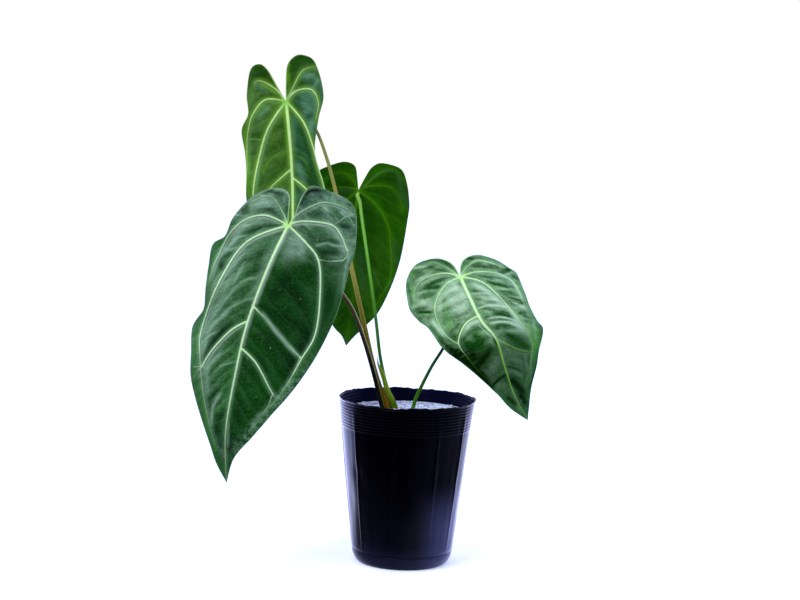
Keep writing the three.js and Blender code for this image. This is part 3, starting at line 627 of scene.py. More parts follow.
# Strokes of tone on each blade: half width, strength and the points that it runs through. The pale
# strokes are painted highlights and sheen, and the dark strokes and those along creases are painted shade.
bladeStrokes = {
    "front": {
        "pale": [
            (9, 0.45, (7, 8), (10, 20), (8, 34)), (6, 0.5, (14, 10), (22, 30)),
            (4.5, 0.35, (-8, 20), (-13, 50), (-18, 84)), (5, 0.35, (44, -6), (60, 4), (63, 22)),
            (1.2, 0.7, (34, 16), (45, 10), (52, 11), (63, 9)), (1.8, 0.5, (62, 11), (72, 11)),
            (1.9, 0.8, (71, 14), (69, 29), (70, 41), (71, 57)), (2.4, 0.4, (-9, -20), (-9, -33)),
            (4.5, 0.6, (-20, -21), (-32, -17), (-39, -10)), (4.6, 0.65, (-42, 6), (-49, 16), (-53, 30)),
            (1.6, 0.7, (-64, 37), (-55, 38), (-45, 33)), (2.2, 0.4, (-66, 44), (-68, 57), (-67, 69)),
            (3.5, 0.3, (-64, 78), (-64, 96)), (4.5, 0.3, (-43, 56), (-51, 90), (-59, 123)),
            (1.8, 0.5, (-35, 48), (-38, 60), (-41, 73)),
            (1.5, 0.5, (-18, 62), (-29, 66), (-38, 76), (-45, 91)),
            (1.3, 0.5, (-12, 81), (-26, 88), (-36, 96), (-46, 107)),
            (2, 0.8, (-40, 102), (-51, 116), (-59, 132)), (1.8, 0.5, (-44, 87), (-52, 104), (-60, 119)),
            (1.8, 0.5, (-56, 135), (-56, 148)), (2.6, 0.5, (-37, 145), (-47, 162), (-45, 176), (-41, 190)),
            (0.9, 0.5, (-19, 151), (-35, 160)), (1.9, 0.7, (-27, 187), (-32, 202), (-30, 220)),
            (1.3, 0.4, (-12, 214), (-7, 239)), (0.9, 0.6, (-51, 162), (-58, 169), (-60, 177)),
            (2, 0.8, (-3, 97), (13, 111), (28, 122), (39, 130)), (2.2, 0.3, (21, 195), (13, 207)),
            (3.5, 0.3, (-16, 242), (-6, 250)),
            (1.2, 0.7, (-45, -18), (-35, -28), (-25, -34), (-10, -33), (-6, -29)),
            (3, 0.3, (28, -35), (42, -37), (56, -31)), (3.5, 0.2, (61, -5), (70, 3)),
            (1.3, 0.5, (29, 178), (38, 176)), (1.2, 0.5, (42, 157), (35, 169)),
            (1.1, 0.6, (17, 206), (11, 218)),
        ],
        "paintedShade": [
            (2.8, 0.8, (-51, -3), (-46, -12)), (1.7, 0.7, (-41, -24), (-27, -30), (-12, -30)),
            (2.5, 0.5, (-31, -12), (-13, -10)), (1.6, 0.9, (-22, 7), (-8, 2)),
            (2.6, 0.6, (-38, 15), (-25, 8)), (3, 0.5, (-68, 34), (-60, 20)), (3, 0.7, (-60, 48), (-52, 41)),
            (2, 0.7, (-59, 60), (-60, 52)), (4.5, 0.4, (-21, 30), (-22, 52)),
            (3.2, 0.5, (-11, 50), (-26, 60)), (4, 1, (-35, 114), (-46, 133), (-53, 155)),
            (3, 0.5, (-38, 85), (-27, 73)), (2.5, 0.7, (-32, 186), (-39, 198)),
            (3.5, 0.8, (-20, 204), (-25, 229)), (8, 1, (14, 52), (4, 81)), (9, 1, (19, 62), (37, 83)),
            (7, 0.8, (3, 92), (38, 104)), (7, 0.75, (4, 118), (34, 138)),
            (8, 1, (38, 94), (46, 116), (34, 152)), (5, 0.6, (2, 140), (8, 152)),
            (5, 0.6, (-66, 50), (-58, 58)), (5, 0.6, (-6, 189), (-2, 215)),
            (6, 0.7, (58, 47), (63, 83), (62, 120)), (3, 0.9, (-75, 44), (-70, 70)),
            (3, 0.9, (53, -11), (64, -11)), (3.2, 0.4, (15, -14), (42, -21)), (2.6, 0.8, (42, 21), (60, 17)),
            (2, 0.5, (29, 12), (53, 6)), (2.6, 0.6, (7, -22), (13, -31)), (3, 0.7, (-5, 267), (-1, 272)),
        ],
        "fresh": [
            (4, 0.5, (-11, 58), (-14, 82)), (5, 0.3, (-20, 134), (-21, 194)),
            (2.2, 0.4, (-71, 127), (-63, 159), (-43, 208)), (3.6, 0.4, (54, 117), (40, 162), (14, 208)),
            (2, 0.5, (-39, 212), (-23, 237)),
        ],
        "creaseShade": [(1.9, 1, (12, -33), (16, -39), (25, -42)), (1, 0.8, (70, 103), (59, 136), (44, 167))],
    },
    "top": {
        "pale": [
            (1.5, 0.6, (-16, 25), (-24, 46), (-31, 69), (-35, 94)), (2.5, 0.5, (-19, 7), (-31, 18)),
            (3, 0.3, (-33, -18), (-19, -10)), (3, 0.5, (31, -29), (19, -25)),
            (1.8, 0.6, (35, -23), (30, -12)), (5, 0.5, (18, -1), (24, 8), (19, 15)),
            (3, 0.8, (27, 22), (26, 33)), (6, 0.4, (28, -14), (33, 8)), (4, 0.5, (10, 67), (17, 89)),
            (3, 0.3, (7, 21), (8, 54)), (1.4, 0.5, (-8, 8), (-16, 25)),
            (8, 0.35, (-26, 112), (-8, 108), (12, 106)),
        ],
        "paintedShade": [
            (3.4, 0.8, (10, -42), (20, -47), (33, -41)), (2.4, 0.6, (14, -38), (7, -16)),
            (3, 0.6, (22, -27), (14, -15)), (2.4, 0.8, (33, -12), (36, -7)), (4, 0.8, (-33, -38), (-19, -30)),
            (2.4, 0.7, (-35, -29), (-23, -27), (-13, -16)), (1.6, 0.8, (-28, -6), (-12, -5)),
            (2, 0.9, (6, 3), (14, 12)), (2, 0.5, (22, 7), (27, 20)), (1.8, 0.6, (-30, 35), (-39, 37)),
            (1.8, 0.7, (-42, 56), (-34, 56)), (2.6, 0.8, (14, 28), (21, 50), (27, 74), (33, 94)),
            (3.5, 0.4, (-3, 19), (-5, 54)), (3, 0.5, (-22, 86), (-4, 73)), (5, 0.8, (22, 74), (28, 94)),
        ],
        "fresh": [
            (1.6, 0.8, (-2, 5), (0, 32), (1, 48), (3, 78)),
            (1.4, 0.6, (-15, 22), (-25, 43), (-32, 67), (-38, 96)), (1.2, 0.6, (-13, -30), (-8, -13)),
            (1.6, 0.6, (-26, -19), (-10, -8)), (0.8, 0.5, (0, 55), (-13, 60), (-22, 68), (-27, 80)),
            (0.8, 0.6, (-27, 41), (-41, 40)), (2, 0.7, (-46, 29), (-45, 62), (-45, 101)),
            (2, 0.6, (4, -28), (3, -9)), (0.9, 0.6, (5, -42), (1, -17)),
            (1, 0.5, (6, 59), (18, 65), (23, 78)), (1, 0.3, (6, 73), (21, 82), (27, 91)),
            (1.3, 0.5, (35, -3), (36, 6), (31, 28)), (1.3, 0.4, (35, 70), (39, 83), (42, 95)),
            (2.4, 0.8, (-3, 2), (-5, 15)), (2, 0.6, (6, 4), (12, 16)), (4, 0.5, (-2, -3), (0, 6)),
        ],
        "creaseShade": [],
    },
    "back": {
        "pale": [
            (1.1, 0.5, (-6, -4), (-18, -20), (-34, -29), (-46, -28)), (5, 0.3, (-5, 74), (-16, 121)),
            (4, 0.3, (-44, -25), (-56, 8)), (4, 0.2, (-46, 52), (-50, 79)), (1, 0.5, (-24, 97), (-37, 115)),
            (1, 0.5, (-49, 99), (-40, 116)), (2.5, 0.3, (26, 4), (3, 3)), (1.6, 0.5, (1, 183), (-2, 189)),
        ],
        "paintedShade": [
            (4, 0.5, (20, -4), (8, -4)), (5, 0.4, (-15, -18), (-8, -8)), (5, 0.4, (-28, -18), (-42, -19)),
            (4, 0.3, (-15, 23), (-20, 41)), (4, 0.4, (-28, 8), (-35, 19)), (4, 0.4, (2, 155), (-5, 158)),
            (3, 0.5, (-21, 77), (-28, 92)), (3, 0.4, (-32, 117), (-31, 130)),
        ],
        "fresh": [
            (1.3, 0.7, (0, 4), (3, 26)), (1.1, 0.5, (1, 3), (13, 16)), (1.4, 0.8, (-1, 82), (-3, 101)),
            (6, 0.3, (1, 179), (-6, 172)), (9, 0.45, (-26, 60), (-28, 100), (-21, 130)),
            (12, 0.7, (10, 90), (-8, 120), (-30, 136)),
        ],
        "creaseShade": [],
    },
    "right": {
        "pale": [
            (8, 0.55, (-24, 16), (-22, 42)), (5, 0.4, (4, 30), (12, 48)), (6, 0.7, (26, 72), (38, 90)),
            (1, 0.6, (6, 36), (23, 42)), (1, 0.8, (-5, 42), (11, 45), (26, 52)),
            (1, 0.8, (-2, 57), (14, 62), (30, 72)), (0.8, 0.5, (-1, 24), (17, 31)),
            (6, 0.6, (-13, 3), (-12, 28)), (2.5, 0.5, (-33, 14), (-42, 29)),
            (4.5, 0.6, (6, 13), (16, 29), (21, 49)), (3, 0.6, (25, 49), (30, 69)),
            (2.6, 0.7, (-29, 60), (-21, 55), (-11, 56)), (1, 0.4, (-15, 60), (-9, 75)),
            (2, 0.5, (-44, -14), (-28, -16)), (1.4, 0.6, (-40, -30), (-28, -26)),
            (1.1, 0.6, (18, -11), (29, -11), (45, 1)), (1.4, 0.7, (39, 11), (51, 25), (47, 51)),
            (1.1, 0.5, (47, 2), (50, 6)), (1.1, 0.5, (47, 15), (62, 14)), (1.5, 0.6, (34, 49), (44, 60)),
            (1, 0.5, (-29, 12), (-12, 11)), (0.9, 0.5, (-27, 22), (-14, 27)),
            (0.9, 0.5, (-30, 34), (-16, 37)), (3.6, 0.6, (-55, 11), (-45, 20)),
            (3, 0.6, (-53, 35), (-52, 56)), (2, 0.5, (-59, 30), (-59, 38)), (4, 0.7, (-20, 108), (-9, 100)),
            (3.4, 0.6, (-19, 122), (-10, 128)), (5, 0.6, (1, 93), (15, 112)),
            (1.8, 0.6, (24, 105), (21, 120)), (2, 0.8, (3, 116), (13, 125)), (1.2, 0.9, (3, 147), (11, 148)),
            (2, 0.8, (-3, 150), (0, 157)), (1.2, 0.8, (33, 103), (26, 122), (20, 135)),
            (2.2, 0.5, (37, 83), (35, 95)), (2, 0.6, (47, 76), (42, 98)),
            (1.4, 0.8, (-2, 63), (14, 67), (28, 78)),
        ],
        "paintedShade": [
            (2, 0.6, (-27, -34), (-12, -27), (-3, -13)), (2.6, 0.8, (-43, -25), (-35, -22)),
            (1.6, 0.6, (-24, -21), (-11, -11)), (1.6, 0.7, (-37, -4), (-22, -5), (-14, -4)),
            (3, 0.9, (-42, -1), (-27, 3)), (2, 0.4, (-55, 4), (-39, 7)), (1.8, 0.9, (-62, 20), (-49, 26)),
            (1.4, 0.5, (-64, 8), (-60, 9)), (2.6, 0.8, (15, -19), (24, -13)), (2.8, 1, (18, -7), (29, -6)),
            (3.2, 0.8, (35, -2), (46, 5)), (4, 1, (46, -14), (58, 0)), (4, 1, (45, 10), (57, 12)),
            (2, 0.7, (56, 18), (60, 26)), (1.5, 0.7, (18, 6), (31, 17)), (1.8, 0.7, (23, 17), (40, 31)),
            (1.4, 0.5, (30, 33), (40, 38)), (1.4, 0.9, (33, 42), (46, 52)), (1.8, 0.8, (38, 67), (45, 72)),
            (1.2, 0.5, (1, 28), (17, 35)), (1.6, 0.9, (5, 40), (18, 44)),
            (2.6, 1, (7, 54), (15, 58), (25, 65)), (2, 0.7, (2, 67), (19, 73)),
            (3.4, 0.9, (8, 78), (18, 88), (30, 100)), (1.5, 0.6, (-26, 29), (-20, 31)),
            (1.6, 0.8, (-31, 43), (-19, 43)), (1.1, 0.9, (-41, 65), (-31, 55), (-18, 49)),
            (6, 0.7, (-25, 66), (-18, 80)), (7, 0.9, (-52, 58), (-42, 66), (-34, 76), (-20, 85)),
            (3, 0.6, (-58, 39), (-57, 61)), (1.2, 1, (17, 20), (27, 48), (31, 70), (37, 89)),
            (1, 0.7, (-48, 31), (-50, 42), (-49, 58)), (2, 0.5, (-55, -14), (-65, 11)),
        ],
        "fresh": [
            (4.5, 0.25, (-36, 27), (-42, 51)), (3, 0.2, (-37, 42), (-48, 55)), (4, 0.4, (-24, 64), (-20, 74)),
            (1.2, 0.9, (-55, -2), (-53, -1)), (2.4, 0.5, (-42, -30), (-45, -22)),
            (7, 0.6, (34, 78), (44, 90), (38, 106)), (2, 0.6, (-43, 71), (-38, 88)),
        ],
        "creaseShade": [
            (1.5, 0.6, (-57, 70), (-46, 75)), (1.5, 0.5, (-51, 81), (-40, 79)),
            (6, 0.8, (-50, 76), (-38, 84), (-27, 92)),
            (3.6, 0.9, (-14, 88), (-24, 95), (-34, 101), (-30, 112)),
            (4.5, 0.9, (-54, 76), (-41, 91), (-30, 108), (-24, 124)),
            (1.6, 0.9, (-22, 123), (-14, 119), (-4, 117)), (4, 0.9, (-1, 122), (4, 131), (11, 141)),
            (1, 0.6, (-2, 109), (13, 119)), (1.8, 0.8, (-5, 79), (-4, 86)),
            (1.2, 0.7, (41, 107), (31, 123), (18, 138)), (3, 0.7, (-59, 60), (-52, 75)),
            (3.4, 0.8, (5, 140), (9, 152)), (2.5, 0.7, (-11, 138), (-3, 149)),
        ],
    },
}
lamina = {
    "thickness": 0.6,
    "marginThickness": 0.32,
    "marginWidth": 5.0,
    "ribAbove": 0.16,
    "ribBelow": 0.75,
    "curlWidth": 9.0,
    "dimple": 0.14,
}


def bladeAxes(leaf):
    a, e = math.radians(leaf["facing"]), math.radians(leaf["tilt"])
    out = Vector((math.sin(a) * math.cos(e), -math.cos(a) * math.cos(e), math.sin(e)))
    up = Vector((-math.sin(a) * math.sin(e), math.cos(a) * math.sin(e), math.cos(e)))
    up = Matrix.Rotation(-math.radians(leaf["spin"]), 3, out) @ up
    return np.array(up.cross(out)), np.array(up), np.array(out)


def evenly(values, along):
    # a value read between others that are spaced evenly along a line
    return np.interp(along, np.linspace(0, 1, len(values)), values)


def strokeField(strokes, u, s):
    # strength of one tone, with soft sides and softer ends
    rest = np.ones(u.shape)
    for width, amount, *path in strokes:
        away, side, along = nearestOn(throughPoints(path, 4), u, s)
        ends = smoothStep(along, -0.25, 0.2) * (1 - smoothStep(along, 0.8, 1.25))
        rest = rest * (1 - amount * ends * softDip(away, width))
    return 1 - rest


def nearestVein(veins, u, s):
    # each vein: its line, its width at the foot and at the tip, its lit side, shine and lit flank
    keys = ("near", "vein", "lit", "ribWidth", "shine", "flank")
    read = {key: np.full(u.shape, np.inf if key == "near" else 0.0) for key in keys}
    for line, foot, tip, litSide, shine, flank in veins:
        away, side, along = nearestOn(line, u, s)
        closer = away < read["near"]
        found = (
            away, away * side, away * side * litSide, foot + (tip - foot) * along,
            evenly(shine, along), evenly(flank, along),
        )
        read.update({key: np.where(closer, value, read[key]) for key, value in zip(keys, found)})
    return read


def readSurface(leaf, u, s):
    # what the mesh and the finish need to know at each place on a blade
    midrib = throughPoints(leaf["midrib"], 10)
    wide, slim, ribWide, ribSlim = leaf["ribWidths"]
    veins = [(midrib, wide, slim, -1, *leaf["middleTone"])]
    for line, (weight, shine, flank) in zip(leaf["ribs"], leaf["ribTones"]):
        litSide = -1 if line[2][0] < line[0][0] else 1
        veins.append((throughPoints(line, 8), ribWide * weight, ribSlim * weight, litSide, shine, flank))
    read = nearestVein(veins, u, s)
    link = np.full(u.shape, 99.0)
    linkShine = np.zeros(u.shape)
    for breadth, shine, points in leaf["links"]:
        away, side, along = nearestOn(throughPoints(points, 6), u, s)
        closer = away < np.abs(link)
        link = np.where(closer, away * side / breadth, link)
        linkShine = np.where(closer, evenly(shine, along), linkShine)
    edge = np.full(u.shape, np.inf)
    for hand in ("Left", "Right"):
        inner, outer = edgeCurves(leaf, hand, 8)
        read["sinus" + hand] = nearestOn(inner, u, s)[0]
        edge = np.minimum(edge, np.minimum(read["sinus" + hand], nearestOn(outer, u, s)[0]))
    fromRib = u - np.interp(s, midrib[:, 1], midrib[:, 0])
    ladder = leaf["ladder"]
    climb = smoothStep(s, 10, 100)
    left, right = (low + (high - low) * climb for low, high in (ladder["left"], ladder["right"]))
    slope = left + (right - left) * smoothStep(fromRib, -4, 4)
    wander = np.sin(0.071 * u + 0.043 * s + 1.3) + 0.6 * np.sin(0.17 * u - 0.11 * s)
    cross = (s - slope * np.abs(fromRib) + ladder["wander"] * wander) / ladder["pitch"]
    read.update({
        "link": link, "linkNear": np.abs(link), "linkShine": linkShine, "edge": edge,
        "sinus": np.minimum(read["sinusLeft"], read["sinusRight"]), "cross": cross, "side": fromRib,
    })
    read.update({tone: strokeField(strokes, u, s) for tone, strokes in leaf["strokes"].items()})
    return read


def bladeForm(leaf, u, s):
    x = u / leaf["halfWidth"]
    before, after, at, soft = leaf["bend"]
    depth, radius = leaf["funnel"]

    def ramp(value):
        return soft * np.logaddexp(0, (value - at) / soft)

    h = leaf["cup"] * x * x + leaf["fold"] * (np.sqrt(x * x + 0.01) - 0.1)
    h = h + before * s + (after - before) * (ramp(s) - ramp(0.0))
    h = h + leaf["lobeDroop"] * (np.maximum(0, -s) / leaf["halfWidth"]) ** 2
    h = h + depth * (1 - np.exp(-(u * u + s * s) / radius**2))
    for side, height, length, phase in leaf["waves"]:
        wave = height * np.abs(x) ** 3 * np.sin(2 * np.pi * s / length + phase)
        h = h + np.where(u * side > 0, wave, 0)
    return h


def bladeRelief(leaf, u, s, read):
    # quilted fields between the veins, puffed between the laterals, and raised inner lobe edges
    height, width = leaf["quilt"]
    field = 1 - softDip(read["near"], width)
    puff = np.abs(np.sin(np.pi * read["cross"])) ** 0.8 - 0.6
    fade = smoothStep(read["edge"], 0, 7)
    fade = fade * (1 - 0.7 * smoothStep(s, *leaf["ladder"].get("until", (300, 400))))
    relief = field * (height + leaf["ladder"]["height"] * puff * fade)
    dimple = np.sin(0.9 * u + 0.5 * s) * np.sin(0.7 * s - 0.33 * u + 1)
    relief = relief + field * (lamina["dimple"] * dimple - leaf["pool"] * read["paintedShade"])
    lift = smoothStep(-s, 4, 26)
    for curl, hand, half in zip(leaf["curl"], ("Left", "Right"), (u < 0, u >= 0)):
        raised = curl * softDip(read["sinus" + hand], lamina["curlWidth"])
        relief = relief + np.where(half, raised * lift, 0)
    return relief


def surfacePoints(leaf, u, s):
    read = readSurface(leaf, u, s)
    h = bladeForm(leaf, u, s) + bladeRelief(leaf, u, s, read)
    across, up, out = bladeAxes(leaf)
    start = np.array(leaf["junction"], float)
    return start + u[..., None] * across - s[..., None] * up + h[..., None] * out, read


def bladeGrid(leaf):
    # corners on the flat blade and the faces between them, seen on the upper face
    lobeRows, bladeRows, columns = leaf["grid"]
    level = leaf["level"]
    spread = 1 - (1 - np.linspace(0, 1, bladeRows + 1)) ** 0.85
    spine = atFractions(throughPoints(leaf["midrib"], 30), spread)
    inLobe = np.linspace(0, 1, lobeRows + 1)[:-1]
    outward = np.concatenate([inLobe * level, level + (1 - level) * spread])
    across = np.linspace(0, 1, columns + 1)[None, :, None]
    flat = [spine]
    count = bladeRows + 1
    faces = []
    for hand in ("Left", "Right"):
        innerEdge, outerEdge = edgeCurves(leaf, hand, 30)
        inner = np.vstack([atFractions(innerEdge, inLobe), spine])
        outer = atFractions(outerEdge, outward)
        grid = inner[:, None] + (outer - inner)[:, None] * across
        rows = len(grid)
        ids = np.arange(rows * (columns + 1)).reshape(rows, columns + 1)
        fresh = np.ones_like(ids, bool)
        fresh[lobeRows:, 0] = False
        fresh[0, 1:] = False
        fresh[-1, :] = False
        ids[fresh] = count + np.arange(fresh.sum())
        ids[lobeRows:, 0] = np.arange(bladeRows + 1)
        ids[0, :] = ids[0, 0]
        ids[-1, :] = bladeRows
        flat.append(grid[fresh])
        count += int(fresh.sum())
        quads = cellFaces(ids)
        faces += (quads[:, [0, 3, 2, 1]] if hand == "Right" else quads).tolist()
    faces = [list(dict.fromkeys(face)) for face in faces]
    return np.vstack(flat), [face for face in faces if len(face) > 2]


def makeBlade(name, leaf, material):
    flat, faces = bladeGrid(leaf)
    s = flat[:, 1]
    middle, read = surfacePoints(leaf, flat[:, 0], s)
    rim = smoothStep(read["edge"], 0, lamina["marginWidth"])
    half = (lamina["marginThickness"] + (lamina["thickness"] - lamina["marginThickness"]) * rim) / 2
    profile = softDip(read["near"], 1.3 * np.maximum(read["ribWidth"], 0.8)) * rim
    strength = read["ribWidth"] / 1.2
    above, below = (half + lamina[key] * profile * strength for key in ("ribAbove", "ribBelow"))
    made = thickSheet(name, middle, faces, above, below, material)
    read.update({"lengthwise": s, "upper": np.ones(len(s))})
    unread = ("sinusLeft", "sinusRight")
    both = {key: np.concatenate([values, values]) for key, values in read.items() if key not in unread}
    both["upper"][len(s):] = 0
    addAttributes(made, both)
    corners = np.zeros(len(made.data.loops), np.int32)
    made.data.loops.foreach_get("vertex_index", corners)
    layer = made.data.uv_layers.new(name="flat")
    layer.data.foreach_set("uv", np.vstack([flat, flat])[corners].astype(np.float32).ravel())
    return made


# What each blade's finish is made of: what most blades share, then what sets each one apart. Bodies,
# sheen sides, streaks and patches are for the left and the right: the bodies' difference is painted light
# and shade, the sheen is painted sheen, the streaks are painted highlights and the patches painted
# shade. Other pairs of places are where a soft step starts and ends. The band is its tone, that pair and
# its share on each side, lit is an amount, a place and a width, a halo is a width and a share, and under
# is the tissue and its veins.
tissue = {
    "lobeTo": 6, "sheenLobes": 0.0, "sheenFade": 0.0, "sheenAll": 0.0, "litMiddle": 0.3, "strokes": 1.0,
    "mottle": 0.3, "crackle": 0.0, "specks": 0.0, "gloss": 0.03, "speckTone": paint(228, 240, 228),
    "lobeFrom": -30.0, "innerTo": (20.0, 46.0), "sheenStart": (-45.0, -20.0), "sheenFadeAt": (30.0, 75.0),
    "sheenThin": (80.0, 220.0), "lobeSheenTo": (-25.0, 40.0), "bandAt": (5.0, 35.0),
    "crackleAt": (120.0, 160.0), "crackleSide": (4.0, 14.0), "crackleWidth": (6.0, 15.0),
}
bladeFinish = {
    "front": {
        "deep": paint(0, 32, 0), "bodies": (paint(62, 122, 66), paint(22, 84, 24)),
        "paintedSheen": paint(144, 182, 158), "vein": paint(212, 255, 198), "glow": paint(140, 192, 150),
        "litTone": paint(150, 170, 160), "rim": paint(140, 168, 136), "lobeTone": paint(66, 122, 80),
        "lobeTo": 38, "tipTone": paint(26, 58, 44), "tipFrom": (205, 250),
        "band": (paint(44, 104, 44), 5, 10, 0.6, 0.3), "under": (paint(78, 128, 70), paint(150, 190, 120)),
        "sheenSides": (0.48, 0.2), "sheenFrom": ((6, 46), (42, 66)), "sheenLobes": 0.34, "sheenFade": 0.75,
        "streaks": (0.14, 0.04), "lit": (1.0, 2.8, 1.4), "litMiddle": 1.0, "litDark": 0.45,
        "halo": (2.6, 0.4), "lateral": 0.05, "ovalShade": (0.2, 0.15), "fresh": paint(58, 126, 54),
        "paintedShade": paint(4, 42, 10), "creaseShade": paint(2, 20, 6), "hub": (paint(196, 255, 150), 4.0), "combs": 1.1,
        "lift": 0.12, "tipDim": 0.3, "veinLow": paint(184, 232, 172), "mottle": 0.4, "grain": 0.22,
        "crackle": 0.45, "specks": 0.45, "roughness": 0.5,
    },
    "top": {
        "deep": paint(14, 54, 2), "bodies": (paint(84, 132, 50), paint(46, 102, 60)),
        "paintedSheen": paint(104, 156, 126), "vein": paint(208, 248, 164), "glow": paint(118, 172, 60),
        "litTone": paint(110, 160, 116), "rim": paint(112, 164, 84), "lobeTone": paint(48, 92, 2),
        "tipTone": paint(34, 80, 50), "tipFrom": (200, 250), "band": (paint(88, 150, 30), 2.5, 6, 0.6, 0.1),
        "under": (paint(86, 138, 60), paint(150, 190, 110)), "sheenSides": (0.1, 0.25),
        "sheenFrom": ((14, 34), (4, 26)), "streaks": (0.05, 0.08), "lit": (0.8, 2.8, 1.3), "litDark": 0.3,
        "halo": (3.4, 0.75), "lateral": 0.12, "ovalShade": (0.2, 0.2), "fresh": paint(98, 162, 22),
        "paintedShade": paint(20, 70, 8), "creaseShade": paint(4, 30, 8), "hub": (paint(140, 215, 90), 5.0), "combs": 0.7,
        "lift": 0.24, "tipDim": 0.2, "veinLow": paint(208, 248, 164), "mottle": 0.16, "grain": 0.12,
        "roughness": 0.46,
    },
    "back": {
        "deep": paint(12, 52, 0), "bodies": (paint(48, 108, 34), paint(48, 108, 34)),
        "paintedSheen": paint(110, 150, 118), "vein": paint(190, 232, 140), "glow": paint(106, 158, 86),
        "litTone": paint(106, 150, 96), "rim": paint(80, 140, 40), "lobeTone": paint(40, 92, 30),
        "tipTone": paint(46, 104, 34), "tipFrom": (150, 190), "band": (paint(60, 130, 30), 3, 7, 0.3, 0.3),
        "under": (paint(36, 96, 6), paint(88, 156, 10)), "sheenSides": (0.2, 0.2),
        "sheenFrom": ((10, 40), (10, 40)), "sheenLobes": 0.1, "sheenAll": 0.02, "streaks": (0.2, 0.2),
        "lit": (0.4, 2.6, 1.3), "litDark": 0.2, "halo": (3.5, 0.4), "lateral": 0.2, "ovalShade": (0.35, 0.35),
        "fresh": paint(66, 122, 18), "paintedShade": paint(14, 50, 0), "creaseShade": paint(4, 30, 0),
        "hub": (paint(150, 220, 90), 4.0), "combs": 0.5, "lift": 0.1, "tipDim": 0.0,
        "veinLow": paint(150, 210, 100), "grain": 0.15, "roughness": 0.48, "gloss": 0.02,
    },
    "right": {
        "deep": paint(10, 60, 8), "bodies": (paint(136, 192, 134), paint(122, 180, 122)),
        "paintedSheen": paint(170, 204, 172), "vein": paint(206, 250, 182), "glow": paint(150, 196, 146),
        "litTone": paint(156, 180, 158), "rim": paint(60, 116, 66), "lobeTone": paint(48, 110, 46),
        "lobeTo": 10, "tipTone": paint(26, 58, 6), "tipFrom": (74, 92),
        "band": (paint(44, 104, 48), 3, 8, 0.5, 0.4), "under": (paint(96, 148, 80), paint(160, 200, 130)),
        "sheenSides": (0.12, 0.2), "sheenFrom": ((2, 20), (2, 30)), "sheenAll": 0.05, "streaks": (0.14, 0.16),
        "lit": (0.7, 3.8, 1.8), "litMiddle": 0.5, "litDark": 0.4, "halo": (2.6, 0.3), "lateral": 0.1,
        "ovalShade": (0.5, 0.55), "fresh": paint(84, 156, 66), "paintedShade": paint(12, 68, 10),
        "creaseShade": paint(4, 32, 0), "strokes": 1.3, "hub": (paint(190, 250, 150), 3.5), "combs": 0.4,
        "lift": 0.05, "tipDim": 0.86, "veinLow": paint(140, 208, 62), "grain": 0.2, "roughness": 0.42,
        "gloss": 0.015,
    },
}


